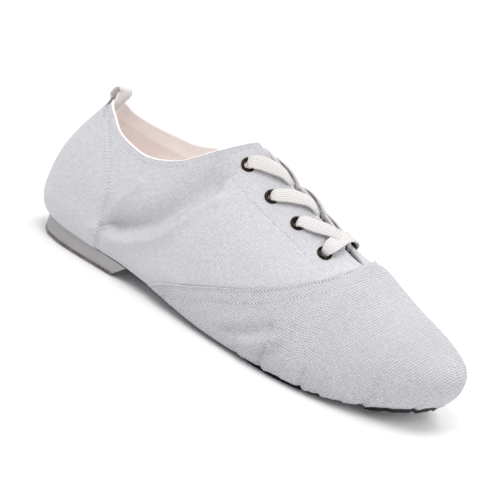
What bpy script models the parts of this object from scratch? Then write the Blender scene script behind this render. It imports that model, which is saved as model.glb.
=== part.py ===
# Jazz shoe, right foot: canvas upper, split suede sole, low heel, four pairs of eyelets.
# Metres. +X runs to the toe, +Z up, the outer (little toe) side faces -Y.
# The origin lies on the floor, in the middle of the heel's resting face.

import math

import bmesh
import bpy
from mathutils import Matrix, Vector
from mathutils.bvhtree import BVHTree

# Last
shoe_length = 0.243
ball_width = 0.089
heel_width = 0.061
collar_width = 0.0500
throat_width = 0.0104
collar_height = 0.0745
instep_height = 0.0925
toe_height = 0.0400
side_rise = 0.0170
heel_rise = 0.0090
toe_spring = 0.0122
toe_swing = 0.0080
arch_lift = 0.0030
heel_to_origin = 0.0340

# Walls and layers
wall = 0.0018
vamp_lap = 0.0010
counter_lap = 0.0008
lap_edge = 0.0006
seam_snap = 0.0015
on_seam = 0.000002
gap = 0.0003
sole_thickness = 0.0015
insole_thickness = 0.0020
tongue_gap = 0.0005
tongue_thickness = 0.0020
top_piece_thickness = 0.0016

# Trim
eyelet_pairs = 4
eyelet_bore = 0.0048
eyelet_flange = 0.0080
eyelet_barrel_wall = 0.0005
eyelet_edge_distance = 0.0115
eyelet_first = 0.1028
eyelet_pitch = 0.0188
flange_lift = 0.0008
flange_height = 0.0007
flange_under = 0.0007
lace_width = 0.0078
lace_thickness = 0.0014
lace_rest = 0.0005
tape_width = 0.0080
tape_thickness = 0.0012
loop_height = 0.0090
loop_reach = 0.0035
tape_down_back = 0.0350
tape_down_inside = 0.0100
collar_hollow = 0.0026

# Fineness of the meshes
spokes_between_rows = 2
under_steps = 3
turn_steps = 3
side_steps = 8
eyelet_sides = 12
ball_patch_steps = (16, 6)
toe_patch_steps = (16, 4)
heel_length_steps = 14
heel_block_steps = 6
heel_pad_steps = 4
insole_steps = 4
tongue_steps = (12, 8)
lace_steps = 10
loop_back_steps = 6
loop_bend_steps = 8
loop_inside_steps = 3
fit_reach = 0.0035

# The quarter-circle handle length of a cubic curve.
round_handle = 0.5523
under_share = 0.82

# One row for each section of the last, from the heel back to the toe tip.
# base, under, edge and top are distances from the heel back in shares of shoe_length:
# the middle of the bottom, the edge of the bottom, the widest line and the top line.
# outer and inner are the half widths at the widest line on the two sides, in shares of the
# width named in width_of. top is a share of the height named in top_of, opening the half
# opening as a share of the width in opening_of, wide the height of the widest line over the
# bottom as a share of side_rise, and lean is 1 where the wall arrives flat at its top line.
section_columns = (
    "base", "under", "edge", "top_x", "width_of", "outer", "inner",
    "top_of", "top", "opening_of", "opening", "wide", "lean")
section_rows = (
    (0.107, 0.029, 0.0000, 0.0658, "heel", 0.000, 0.000, "collar", 1.000, "collar", 0.000, 0.76, 0.60),
    (0.111, 0.037, 0.0107, 0.0761, "heel", 0.213, 0.213, "collar", 0.980, "collar", 0.125, 0.76, 0.60),
    (0.128, 0.062, 0.0412, 0.1008, "heel", 0.369, 0.369, "collar", 0.933, "collar", 0.210, 0.80, 0.60),
    (0.156, 0.103, 0.0905, 0.1358, "heel", 0.462, 0.459, "collar", 0.890, "collar", 0.340, 0.88, 0.60),
    (0.202, 0.165, 0.1564, 0.1811, "heel", 0.502, 0.489, "collar", 0.872, "collar", 0.440, 0.94, 0.60),
    (0.251, 0.230, 0.2263, 0.2346, "heel", 0.521, 0.475, "collar", 0.876, "collar", 0.490, 1.00, 0.60),
    (0.305, 0.296, 0.2963, 0.3004, "ball", 0.373, 0.317, "collar", 0.966, "collar", 0.476, 1.00, 0.62),
    (0.358, 0.358, 0.3580, 0.3580, "ball", 0.393, 0.324, "instep", 0.902, "collar", 0.340, 1.00, 0.62),
    (0.403, 0.403, 0.4033, 0.4060, "ball", 0.416, 0.340, "instep", 0.986, "collar", 0.125, 1.00, 0.64),
    (0.440, 0.440, 0.4424, 0.4250, "ball", 0.435, 0.362, "instep", 0.984, "throat", 0.400, 1.00, 0.66),
    (0.494, 0.494, 0.4979, 0.4938, "ball", 0.461, 0.393, "instep", 0.892, "throat", 0.420, 0.97, 0.69),
    (0.549, 0.553, 0.5617, 0.5638, "ball", 0.485, 0.430, "instep", 0.827, "throat", 0.425, 0.97, 0.73),
    (0.605, 0.613, 0.6255, 0.6337, "ball", 0.502, 0.463, "instep", 0.746, "throat", 0.400, 0.95, 0.78),
    (0.654, 0.669, 0.6811, 0.6872, "ball", 0.506, 0.485, "instep", 0.681, "throat", 0.360, 0.92, 0.87),
    (0.681, 0.704, 0.7160, 0.7119, "ball", 0.501, 0.494, "instep", 0.657, "throat", 0.250, 0.90, 0.95),
    (0.704, 0.733, 0.7469, 0.7222, "ball", 0.490, 0.497, "instep", 0.649, "throat", 0.000, 0.90, 1.00),
    (0.751, 0.782, 0.8004, 0.7757, "ball", 0.453, 0.489, "instep", 0.582, "throat", 0.000, 0.88, 1.00),
    (0.794, 0.831, 0.8539, 0.8251, "ball", 0.391, 0.464, "instep", 0.530, "throat", 0.000, 0.85, 0.95),
    (0.831, 0.879, 0.9053, 0.8642, "ball", 0.303, 0.416, "toe", 1.150, "throat", 0.000, 0.80, 0.88),
    (0.858, 0.916, 0.9527, 0.8930, "ball", 0.200, 0.345, "toe", 1.060, "throat", 0.000, 0.72, 0.80),
    (0.877, 0.942, 0.9856, 0.9136, "ball", 0.060, 0.243, "toe", 1.000, "throat", 0.000, 0.64, 0.73),
    (0.885, 0.955, 1.0000, 0.9218, "ball", -0.090, 0.090, "toe", 0.970, "throat", 0.000, 0.60, 0.70),
)
throat_end_row = 15

# Height of the upper's bottom over the ball: shares of shoe_length, heel_rise and toe_spring.
bottom_rows = (
    (0.00, 1.00, 0.0), (0.08, 0.89, 0.0), (0.18, 0.767, 0.0), (0.26, 0.69, 0.0),
    (0.34, 0.49, 0.0), (0.42, 0.233, 0.0), (0.48, 0.07, 0.0), (0.54, 0.0, 0.0),
    (0.60, 0.0, 0.0), (0.68, 0.0, 0.0), (0.74, 0.0, 0.0), (0.80, 0.0, 0.066),
    (0.86, 0.0, 0.254), (0.92, 0.0, 0.557), (1.00, 0.0, 1.0),
)

# Seams seen from the side: share of shoe_length against share of instep_height.
vamp_seam = ((0.329, 0.030), (0.358, 0.118), (0.442, 0.227), (0.572, 0.389),
             (0.675, 0.551), (0.712, 0.627), (0.722, 0.649))
counter_seam = ((0.195, 0.082), (0.191, 0.249), (0.183, 0.411), (0.172, 0.486),
                (0.150, 0.573), (0.113, 0.670), (0.072, 0.746), (0.058, 0.800))

# Outlines of the stitched-on sole pieces, from their rear to their front end: share of
# shoe_length, then the two sides as shares of ball_width.
ball_patch_rows = (
    (0.478, -0.020, 0.020), (0.500, -0.140, 0.110), (0.550, -0.270, 0.235), (0.610, -0.365, 0.335),
    (0.670, -0.392, 0.405), (0.730, -0.368, 0.425), (0.780, -0.305, 0.400), (0.825, -0.205, 0.330),
    (0.855, -0.095, 0.230), (0.868, 0.040, 0.090),
)
# The crescent under the toe, from its outer to its inner end: share of ball_width across, then
# its rear and front edges as shares of shoe_length.
toe_patch_rows = (
    (-0.262, 0.874, 0.880), (-0.225, 0.873, 0.905), (-0.130, 0.879, 0.931), (0.000, 0.889, 0.949),
    (0.120, 0.889, 0.951), (0.230, 0.880, 0.940), (0.320, 0.866, 0.915), (0.365, 0.866, 0.874),
)
# Heel outline against the edge of the upper's bottom.
heel_overhang = 0.0012
heel_length_share = 0.276
breast_slant = 0.0060
breast_hollow = 0.0030
top_piece_inset = 0.0006

# The insole against the bottom of the last.
insole_width_share = 0.95
insole_length_share = 0.985

# Tongue outline: share of shoe_length against half width as a share of ball_width.
tongue_rows = ((0.425, 0.190), (0.450, 0.225), (0.500, 0.245), (0.580, 0.250), (0.660, 0.240),
               (0.745, 0.200))
# Share of a full arch that lace and tongue keep between the edges of the throat.
throat_crown = 0.6
lace_hidden_share = 0.42
lace_over_share = 0.6

canvas_white = (0.75, 0.75, 0.78, 1.0)
suede_grey = (0.42, 0.42, 0.44, 1.0)
heel_grey = (0.50, 0.50, 0.52, 1.0)
pigskin = (0.28, 0.26, 0.25, 1.0)
tape_white = (0.80, 0.79, 0.76, 1.0)
lining_cream = (0.70, 0.64, 0.54, 1.0)
dark_metal = (0.05, 0.04, 0.04, 1.0)


def clear_scene():
    for item in list(bpy.data.objects):
        bpy.data.objects.remove(item, do_unlink=True)


def material(name, colour, roughness, metallic=0.0):
    made = bpy.data.materials.new(name)
    made.use_nodes = True
    shader = made.node_tree.nodes["Principled BSDF"]
    shader.inputs["Base Color"].default_value = colour
    shader.inputs["Roughness"].default_value = roughness
    shader.inputs["Metallic"].default_value = metallic
    return made


def finish(name, mesh, finish_material, sharp=math.radians(40)):
    """Turn a bmesh into a named object, smooth but for its sharp edges."""
    bmesh.ops.remove_doubles(mesh, verts=mesh.verts, dist=1e-6)
    bmesh.ops.dissolve_degenerate(mesh, edges=mesh.edges, dist=1e-6)
    bmesh.ops.recalc_face_normals(mesh, faces=mesh.faces)
    data = bpy.data.meshes.new(name)
    mesh.to_mesh(data)
    mesh.free()
    data.shade_smooth()
    data.set_sharp_from_angle(angle=sharp)
    data.materials.append(finish_material)
    made = bpy.data.objects.new(name, data)
    bpy.context.scene.collection.objects.link(made)
    return made


def smooth_step(value):
    share = min(max(value, 0.0), 1.0)
    return share * share * (3 - 2 * share)


def glide(values, place, ends="open"):
    """Read a smooth curve through evenly numbered values at a place between two of them.

    Its ends run straight on, or are level where the form turns back on itself.
    """
    first = min(int(place), len(values) - 2)
    part = place - first
    here = values[first]
    there = values[first + 1]
    before = values[first - 1] if first > 0 else 2 * here - there
    after = values[first + 2] if first + 2 < len(values) else 2 * there - here
    if ends == "level":
        before = there if first == 0 else before
        after = here if first + 2 == len(values) else after
    rise = (there - before) / 2
    fall = (after - here) / 2
    return (here * (2 * part ** 3 - 3 * part ** 2 + 1) + rise * (part ** 3 - 2 * part ** 2 + part)
            + there * (3 * part ** 2 - 2 * part ** 3) + fall * (part ** 3 - part ** 2))


def place_among(stops, value):
    """Find the row number, whole and part, at which rising stops reach a value."""
    for number in range(len(stops) - 1):
        if value <= stops[number + 1]:
            span = stops[number + 1] - stops[number]
            return number + max(value - stops[number], 0.0) / span
    return float(len(stops) - 1)


widths = {"heel": heel_width, "ball": ball_width, "collar": collar_width, "throat": throat_width}
heights = {"collar": collar_height, "instep": instep_height, "toe": toe_height}
ball_seat = sole_thickness + gap


def read_sections():
    """Turn the rows of shares into columns of metres."""
    columns = {name: [] for name in section_columns}
    for row in section_rows:
        entry = dict(zip(section_columns, row))
        for name in ("base", "under", "edge", "top_x"):
            entry[name] *= shoe_length
        for name in ("outer", "inner"):
            entry[name] *= widths[entry["width_of"]]
        entry["opening"] *= widths[entry["opening_of"]]
        entry["top"] *= heights[entry["top_of"]]
        entry["wide"] *= side_rise
        for name in section_columns:
            columns[name].append(entry[name])
    return columns


sections = read_sections()
last_row = len(section_rows) - 1
bottom_stops = [row[0] * shoe_length for row in bottom_rows]
bottom_heights = [ball_seat + row[1] * heel_rise + row[2] * toe_spring for row in bottom_rows]


def bottom_height(x):
    return max(glide(bottom_heights, place_among(bottom_stops, x)), ball_seat)


def middle(x):
    """Sideways swing of the middle line towards the big toe."""
    return toe_swing * smooth_step((x / shoe_length - 0.6) / 0.4)


def arch(side, x):
    """Lift of the bottom's edge at the inner arch."""
    if side < 0:
        return 0.0
    offset = (x / shoe_length - 0.36) / 0.17
    return arch_lift * smooth_step(1 - abs(offset))


def half_opening(row):
    """Half the width of the collar or throat, nothing past the throat's end."""
    if row >= throat_end_row:
        return 0.0
    return glide(sections["opening"][:throat_end_row + 1], row)


def section(side, row):
    """The four guide points of one half section: base, under edge, widest point and top."""
    value = {}
    for name in ("base", "under", "edge", "wide", "lean"):
        value[name] = glide(sections[name], row, "level")
    for name in ("outer", "inner"):
        value[name] = glide(sections[name], row)
    value["opening"] = half_opening(row)
    for name in ("top_x", "top"):
        if row <= throat_end_row:
            value[name] = glide(sections[name][:throat_end_row + 1], row, "level")
        else:
            value[name] = glide(sections[name][throat_end_row:], row - throat_end_row, "level")
    half = value["outer"] if side < 0 else value["inner"]
    edge_y = side * half
    under_y = middle(value["under"]) + (edge_y - middle(value["under"])) * under_share
    base = Vector((value["base"], middle(value["base"]), bottom_height(value["base"])))
    under = Vector((value["under"], under_y, bottom_height(value["under"]) + arch(side, value["under"])))
    edge = Vector((value["edge"], edge_y, bottom_height(value["edge"]) + value["wide"]))
    top_y = middle(value["top_x"]) + side * value["opening"]
    top = Vector((value["top_x"], top_y, value["top"]))
    return base, under, edge, top, value["lean"]


def last_point(side, row, level):
    """A point of the last: level 0 to 1 crosses the bottom, 1 to 2 turns up, 2 to 3 is the side."""
    base, under, edge, top, lean = section(side, row)
    if level <= 1:
        return base.lerp(under, level)
    if level <= 2:
        angle = (level - 1) * math.pi / 2
        point = under.lerp(edge, math.sin(angle))
        point.z = under.z + (edge.z - under.z) * (1 - math.cos(angle))
        return point
    part = level - 2
    stay = 1 - part
    inward = stay ** 3 + 3 * stay ** 2 * part + 3 * stay * part ** 2 * round_handle
    climb = 3 * stay ** 2 * part * round_handle + 3 * stay * part ** 2 * lean + part ** 3
    point = top.lerp(edge, inward)
    point.z = edge.z + (top.z - edge.z) * climb
    return point


def to_frame(point):
    return Vector((point.x - heel_to_origin, point.y, point.z))


spoke_rows = [number / spokes_between_rows for number in range(last_row * spokes_between_rows + 1)]
levels = ([number / under_steps for number in range(under_steps)]
          + [1 + number / turn_steps for number in range(turn_steps)]
          + [2 + number / side_steps for number in range(side_steps + 1)])


def last_sheet():
    """The whole last as one open sheet, cut along the collar and the throat."""
    mesh = bmesh.new()
    for side in (-1, 1):
        grid = []
        for row in spoke_rows:
            grid.append([mesh.verts.new(last_point(side, row, level)) for level in levels])
        for spoke, following in zip(grid, grid[1:]):
            for step in range(len(levels) - 1):
                corners = [spoke[step], following[step], following[step + 1], spoke[step + 1]]
                if side < 0:
                    corners.reverse()
                mesh.faces.new(corners)
    bmesh.ops.remove_doubles(mesh, verts=mesh.verts, dist=2e-6)
    bmesh.ops.dissolve_degenerate(mesh, edges=mesh.edges, dist=2e-6)
    return mesh


def seam_x(seam, z):
    """Where a seam lies along the shoe at one height."""
    stops = [row[1] * instep_height for row in seam]
    places = [row[0] * shoe_length for row in seam]
    if z <= stops[0]:
        return places[0]
    if z >= stops[-1]:
        slope = (places[-1] - places[-2]) / (stops[-1] - stops[-2])
        return places[-1] + slope * (z - stops[-1])
    return glide(places, place_among(stops, z))


def ahead_of_vamp_seam(point):
    return point.x - seam_x(vamp_seam, point.z)


def behind_counter_seam(point):
    return seam_x(counter_seam, point.z) - point.x


def snap_to_seam(mesh, measure):
    """Slide the points that lie close to a seam onto it, so that the cut leaves no slivers."""
    for vert in mesh.verts:
        distance = measure(vert.co)
        if abs(distance) < seam_snap:
            vert.co.x += seam_snap_way[measure] * distance


def cut_along(mesh, measure, level):
    """Cut the sheet's faces along the line where a measure passes a level."""
    on_line = [vert for vert in mesh.verts if abs(measure(vert.co) - level) < on_seam]
    for edge in list(mesh.edges):
        near = measure(edge.verts[0].co) - level
        far = measure(edge.verts[1].co) - level
        if near * far < 0 and min(abs(near), abs(far)) >= on_seam:
            on_line.append(bmesh.utils.edge_split(edge, edge.verts[0], near / (near - far))[1])
    bmesh.ops.connect_verts(mesh, verts=on_line)


def lap_height(point):
    """How far the vamp or the counter stands off the layer below it."""
    clear_of_bottom = smooth_step((point.z - bottom_height(point.x) - wall) / (side_rise / 3))
    if ahead_of_vamp_seam(point) > -lap_edge / 4:
        return vamp_lap * clear_of_bottom
    if behind_counter_seam(point) > -lap_edge / 4:
        return counter_lap * clear_of_bottom
    return 0.0


seam_snap_way = {ahead_of_vamp_seam: -1, behind_counter_seam: 1}


def make_upper():
    """Hollow upper with a real wall, laps at the vamp and counter, open collar and throat."""
    mesh = last_sheet()
    for measure in (ahead_of_vamp_seam, behind_counter_seam):
        snap_to_seam(mesh, measure)
        cut_along(mesh, measure, 0.0)
        cut_along(mesh, measure, -lap_edge)
    bmesh.ops.remove_doubles(mesh, verts=mesh.verts, dist=5e-5)
    bmesh.ops.recalc_face_normals(mesh, faces=mesh.faces)
    mesh.normal_update()
    outer_faces = list(mesh.faces)
    rim = [edge for edge in mesh.edges if edge.is_boundary]
    partner = {}
    for vert in list(mesh.verts):
        partner[vert] = mesh.verts.new(vert.co - vert.normal * wall)
    for edge in rim:
        first, second = edge.link_loops[0].vert, edge.link_loops[0].link_loop_next.vert
        mesh.faces.new([second, first, partner[first], partner[second]])
    for face in outer_faces:
        mesh.faces.new([partner[vert] for vert in reversed(face.verts)])
    for vert in partner:
        vert.co += vert.normal * lap_height(vert.co)
    for vert in mesh.verts:
        vert.co = to_frame(vert.co)
    return finish("upper", mesh, material("canvas", canvas_white, 0.9), math.radians(50))


def surface_of(made):
    mesh = bmesh.new()
    mesh.from_mesh(made.data)
    tree = BVHTree.FromBMesh(mesh)
    mesh.free()
    return tree


def height_above(tree, x, y, start):
    """Height of the first surface straight over a place."""
    hit = tree.ray_cast(Vector((x, y, start)), Vector((0, 0, 1)))[0]
    return hit.z if hit else None


def height_below(tree, x, y, start):
    hit = tree.ray_cast(Vector((x, y, start)), Vector((0, 0, -1)))[0]
    return hit.z if hit else None


def slab(name, low_rows, high_rows, low_of, high_of, finish_material):
    """A closed layer between two height rules, from rows of plan points across it."""
    mesh = bmesh.new()
    low = [[mesh.verts.new((x, y, low_of(x, y))) for x, y in row] for row in low_rows]
    high = [[mesh.verts.new((x, y, high_of(x, y))) for x, y in row] for row in high_rows]
    for number in range(len(low) - 1):
        for step in range(len(low[0]) - 1):
            mesh.faces.new([low[number][step], low[number][step + 1],
                            low[number + 1][step + 1], low[number + 1][step]])
            mesh.faces.new([high[number][step], high[number + 1][step],
                            high[number + 1][step + 1], high[number][step + 1]])
    last = len(low[0]) - 1
    for number in range(len(low) - 1):
        for step in (0, last):
            mesh.faces.new([low[number][step], low[number + 1][step],
                            high[number + 1][step], high[number][step]])
    for number in (0, len(low) - 1):
        for step in range(last):
            mesh.faces.new([low[number][step], low[number][step + 1],
                            high[number][step + 1], high[number][step]])
    return finish(name, mesh, finish_material)


def across(x_left, y_left, x_right, y_right, steps):
    """Plan points in a straight row from one side to the other."""
    row = []
    for step in range(steps + 1):
        share = step / steps
        row.append((x_left + (x_right - x_left) * share - heel_to_origin, y_left + (y_right - y_left) * share))
    return row


def smooth_rows(rows, count):
    """Rows of a table read as smooth curves at evenly numbered places."""
    columns = list(zip(*rows))
    places = [number * (len(rows) - 1) / count for number in range(count + 1)]
    return [[glide(column, place) for column in columns] for place in places]


def fitted_under(tree, reach):
    """Rule for the height of a face that lies a gap below the lowest of the upper around a place.

    A place beyond the upper's outline takes the height of the upper's nearest point.
    """
    def rule(x, y):
        heights_here = []
        for turn in range(9):
            step = reach if turn else 0.0
            angle = turn * math.pi / 4
            place = height_above(tree, x + step * math.cos(angle), y + step * math.sin(angle), -shoe_length)
            if place is not None:
                heights_here.append(place)
        if not heights_here:
            heights_here.append(tree.find_nearest(Vector((x, y, 0)))[0].z)
        return round(min(heights_here) - gap, 6)
    return rule


def make_ball_patch(tree):
    rows = []
    for share, outer, inner in smooth_rows(ball_patch_rows, ball_patch_steps[0]):
        x = share * shoe_length
        rows.append(across(x, outer * ball_width, x, inner * ball_width, ball_patch_steps[1]))
    roof = fitted_under(tree, fit_reach)
    slab("ball_patch", rows, rows, lambda x, y: roof(x, y) - sole_thickness, roof,
         material("suede", suede_grey, 0.95))


def make_toe_patch(tree):
    rows = []
    for share, rear, front in smooth_rows(toe_patch_rows, toe_patch_steps[0]):
        y = share * ball_width
        rows.append(across(rear * shoe_length, y, front * shoe_length, y, toe_patch_steps[1]))
    roof = fitted_under(tree, fit_reach)
    slab("toe_patch", rows, rows, lambda x, y: roof(x, y) - sole_thickness, roof,
         material("toe_suede", suede_grey, 0.95))


def heel_rows(front, inset, steps):
    """Plan rows of the heel from its back to its hollowed breast line."""
    rows = []
    back = sections["under"][0] - heel_overhang + inset
    for number in range(heel_length_steps + 1):
        share = number / heel_length_steps
        x = back + (front - back) * (1 - math.cos(share * math.pi / 2))
        row_number = place_among(sections["under"], max(x, sections["under"][0]))
        outer = section(-1, row_number)[1].y
        inner = section(1, row_number)[1].y
        outward = heel_overhang - inset
        round_back = math.sqrt(min(max((x - back) / (outward + sections["under"][0]), 0.0), 1.0))
        row = across(x, outer - outward * round_back, x, inner + outward * round_back, steps)
        hollow = breast_hollow * share ** 3
        last = steps / 2
        row = [(px - hollow * (1 - ((step - last) / last) ** 2), py) for step, (px, py) in enumerate(row)]
        rows.append(row)
    return rows


def make_heel(tree):
    front = heel_length_share * shoe_length
    roof = fitted_under(tree, fit_reach)
    low = heel_rows(front - breast_slant, 0.0, heel_block_steps)
    high = heel_rows(front, 0.0, heel_block_steps)
    block_foot = top_piece_thickness + gap
    slab("heel_block", low, high, lambda x, y: block_foot, roof, material("heel_rubber", heel_grey, 0.6))
    rows = heel_rows(front - breast_slant - top_piece_inset, top_piece_inset, heel_pad_steps)
    slab("heel_pad", rows, rows, lambda x, y: 0.0, lambda x, y: top_piece_thickness,
         material("pigskin", pigskin, 0.85))


def make_insole(tree):
    rows = []
    for row in spoke_rows:
        outer = section(-1, row)[1]
        inner = section(1, row)[1]
        mid = (outer.y + inner.y) / 2
        left, right = (mid + (side.y - mid) * insole_width_share for side in (outer, inner))
        x = shoe_length / 2 + (outer.x - shoe_length / 2) * insole_length_share
        rows.append(across(x, left, x, right, insole_steps))

    def floor(x, y):
        start = bottom_height(x + heel_to_origin) + wall * 3
        return height_below(tree, x, y, start + arch_lift) + gap

    slab("insole", rows, rows, floor, lambda x, y: floor(x, y) + insole_thickness,
         material("insole_cloth", lining_cream, 0.9))


def eyelet_places(side):
    """Plan rows, centres and outward normals of one side's eyelets."""
    places = []
    for number in range(eyelet_pairs):
        row = place_among(sections["top_x"], eyelet_first + number * eyelet_pitch)
        edge = last_point(side, row, 3.0)
        level = 3.0
        while (last_point(side, row, level) - edge).length < eyelet_edge_distance:
            level -= 0.002
        along = last_point(side, row + 0.05, level) - last_point(side, row - 0.05, level)
        up = last_point(side, row, level + 0.02) - last_point(side, row, level - 0.02)
        normal = along.cross(up).normalized() * -side
        places.append((to_frame(last_point(side, row, level)), normal))
    return places


def turned(centre, normal, outline, sides):
    """Spin an outline of radii and heights round an axis into a closed ring."""
    mesh = bmesh.new()
    ring = [mesh.verts.new((radius, 0, height)) for radius, height in outline]
    edges = [mesh.edges.new((ring[number - 1], ring[number])) for number in range(len(ring))]
    bmesh.ops.spin(mesh, geom=ring + edges, cent=(0, 0, 0), axis=(0, 0, 1), angle=math.tau,
                   steps=sides, use_merge=True)
    turn = normal.to_track_quat("Z", "X").to_matrix().to_4x4()
    bmesh.ops.transform(mesh, matrix=Matrix.Translation(centre) @ turn, verts=mesh.verts)
    return mesh


def make_eyelets(made_upper):
    """Rolled metal eyelets, each through its own hole in the upper."""
    bore = eyelet_bore / 2
    barrel = bore + eyelet_barrel_wall
    flange = eyelet_flange / 2
    top = flange_lift + flange_height
    bottom = -wall - flange_under
    outline = ((bore, bottom - flange_height), (flange, bottom - flange_height), (flange, bottom),
               (barrel, bottom), (barrel, flange_lift), (flange, flange_lift),
               ((flange + bore) / 2, top), (bore, flange_lift))
    metal = material("black_nickel", dark_metal, 0.35, 1.0)
    holes = bmesh.new()
    for side, side_name in ((-1, "outer"), (1, "inner")):
        for number, (centre, normal) in enumerate(eyelet_places(side), 1):
            mesh = turned(centre, normal, outline, eyelet_sides)
            finish("eyelet_{}_{}".format(side_name, number), mesh, metal)
            turn = Matrix.Translation(centre) @ normal.to_track_quat("Z", "X").to_matrix().to_4x4()
            bmesh.ops.create_cone(holes, cap_ends=True, segments=eyelet_sides, radius1=barrel + gap,
                                  radius2=barrel + gap, depth=wall * 4, matrix=turn)
    cutter = finish("eyelet_holes", holes, metal)
    cutter.hide_render = True
    cutter.display_type = "WIRE"
    cut = made_upper.modifiers.new("eyelet_holes", "BOOLEAN")
    cut.solver = "MANIFOLD"
    cut.operation = "DIFFERENCE"
    cut.object = cutter


def instep_rule(tree, from_inside, clearance_of):
    """Height of a sheet that follows the instep on one side of the upper's wall, over the throat too."""
    way = -1 if from_inside else 1

    def wall_height(x, y):
        if from_inside:
            return height_above(tree, x, y, instep_height * 0.4)
        return height_below(tree, x, y, instep_height * 2)

    def rule(x, y):
        distance = x + heel_to_origin
        centre = middle(distance)
        brim = half_opening(place_among(sections["top_x"], distance)) + wall / 2
        if abs(y - centre) > brim:
            here = wall_height(x, y)
            further = wall_height(x, y + math.copysign(wall, y - centre))
        else:
            here = sum(wall_height(x, centre + side * brim) for side in (-1, 1)) / 2
            further = sum(wall_height(x, centre + side * (brim + wall)) for side in (-1, 1)) / 2
        slope = (here - further) / wall
        crown = throat_crown * slope * brim / 2 * (1 - (min(abs(y - centre), brim) / brim) ** 2)
        return here + crown + way * clearance_of(distance) * math.hypot(1, slope)
    return rule


def make_tongue(tree):
    """Tongue that lies under the eyelets and the vamp's edge."""
    seat = tongue_gap
    under_eyelets = flange_under + flange_height + lace_rest
    last_eyelet = eyelet_first + (eyelet_pairs - 1) * eyelet_pitch + eyelet_flange
    end = tongue_rows[-1][0] * shoe_length

    def clearance(distance):
        return under_eyelets + (seat - under_eyelets) * smooth_step((distance - last_eyelet) / (end - last_eyelet))

    rows = []
    for share, half in smooth_rows(tongue_rows, tongue_steps[0]):
        x = share * shoe_length
        reach = half * ball_width
        rows.append(across(x, middle(x) - reach, x, middle(x) + reach, tongue_steps[1]))
    high = instep_rule(tree, True, clearance)
    slab("tongue", rows, rows, lambda x, y: high(x, y) - tongue_thickness, high,
         material("tongue_canvas", canvas_white, 0.9))


def strand_rows(start, end, steps):
    """Plan rows of a flat lace from one place to another."""
    way = (end - start).normalized()
    beside = Vector((-way.y, way.x)) * lace_width / 2
    rows = []
    for step in range(steps + 1):
        centre = start.lerp(end, step / steps)
        rows.append([tuple(centre + beside), tuple(centre), tuple(centre - beside)])
    return rows


def make_laces(tree):
    """The lace over the instep: a bar across the lowest pair and crossings above it."""
    lift = flange_lift + flange_height + lace_rest
    low = instep_rule(tree, False, lambda distance: lift)
    cloth = material("lace", tape_white, 0.85)
    outer = [centre.to_2d() for centre, normal in eyelet_places(-1)]
    inner = [centre.to_2d() for centre, normal in eyelet_places(1)]
    rows = strand_rows(outer[-1], inner[-1], lace_steps)
    slab("lace_bar", rows, rows, low, lambda x, y: low(x, y) + lace_thickness, cloth)
    for number in range(eyelet_pairs - 1):
        strands = []
        for here, there in ((outer, inner), (inner, outer)):
            end = there[number + 1].lerp(here[number], lace_hidden_share)
            strands.append(strand_rows(here[number], end, lace_steps))
        crossing = (outer[number] + inner[number + 1]) / 2

        def over(x, y, crossing=crossing):
            near = 1 - (Vector((x, y)) - crossing).length / (lace_width * 1.5)
            return low(x, y) + lace_thickness * lace_over_share * smooth_step(near)

        name = "lace_cross_{}".format(number + 1)
        lower = slab(name, strands[0], strands[0], low, lambda x, y: low(x, y) + lace_thickness, cloth)
        upper_strand = slab(name + "_over", strands[1], strands[1], over,
                            lambda x, y: over(x, y) + lace_thickness, cloth)
        upper_strand.hide_render = True
        upper_strand.display_type = "WIRE"
        join = lower.modifiers.new("crossing", "BOOLEAN")
        join.operation = "UNION"
        join.object = upper_strand


def make_pull_loop():
    """Tape that climbs the heel seam, loops over the collar and goes in behind it."""
    out = counter_lap + gap + tape_thickness / 2
    inside = wall + gap + collar_hollow + tape_thickness / 2

    def back_point(level, distance):
        here = last_point(1, 0.0, level)
        along = last_point(1, 0.0, min(level + 0.01, 3.0)) - last_point(1, 0.0, min(level, 2.99) - 0.01)
        normal = Vector((-along.z, 0, along.x)).normalized()
        return here + normal * distance

    path = []
    top = last_point(1, 0.0, 3.0)
    foot = top.z - tape_down_back
    level = 2.0
    while last_point(1, 0.0, level).z < foot:
        level += 0.02
    for step in range(loop_back_steps + 1):
        path.append(back_point(level + (3.0 - level) * step / loop_back_steps, out))
    peak = top + Vector((loop_reach, 0, loop_height))
    start = path[-1]
    end = back_point(3.0, -inside)
    for step in range(1, loop_bend_steps):
        angle = math.pi * step / loop_bend_steps
        centre = start.lerp(end, (1 - math.cos(angle)) / 2)
        path.append(centre + (peak - (start + end) / 2) * math.sin(angle))
    path.append(end)
    level = 3.0
    while top.z - last_point(1, 0.0, level).z < tape_down_inside:
        level -= 0.02
    for step in range(1, loop_inside_steps + 1):
        path.append(back_point(3.0 + (level - 3.0) * step / loop_inside_steps, -inside))
    mesh = bmesh.new()
    left, right = [], []
    for number, point in enumerate(path):
        along = path[min(number + 1, len(path) - 1)] - path[max(number - 1, 0)]
        beside = Vector((-along.z, 0, along.x)).normalized() * tape_thickness / 2
        left.append(to_frame(point + beside))
        right.append(to_frame(point - beside))
    half = Vector((0, tape_width / 2, 0))
    corners = [[mesh.verts.new(place + shift) for place in row]
               for row, shift in ((left, half), (left, -half), (right, -half), (right, half))]
    for number in range(4):
        row, following = corners[number], corners[(number + 1) % 4]
        for step in range(len(path) - 1):
            mesh.faces.new([row[step], row[step + 1], following[step + 1], following[step]])
    mesh.faces.new([row[0] for row in corners])
    mesh.faces.new([row[-1] for row in reversed(corners)])
    finish("pull_loop", mesh, material("tape", tape_white, 0.85))


clear_scene()
upper = make_upper()
upper_surface = surface_of(upper)
make_ball_patch(upper_surface)
make_toe_patch(upper_surface)
make_heel(upper_surface)
make_insole(upper_surface)
make_tongue(upper_surface)
make_laces(upper_surface)
make_eyelets(upper)
make_pull_loop()
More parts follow.
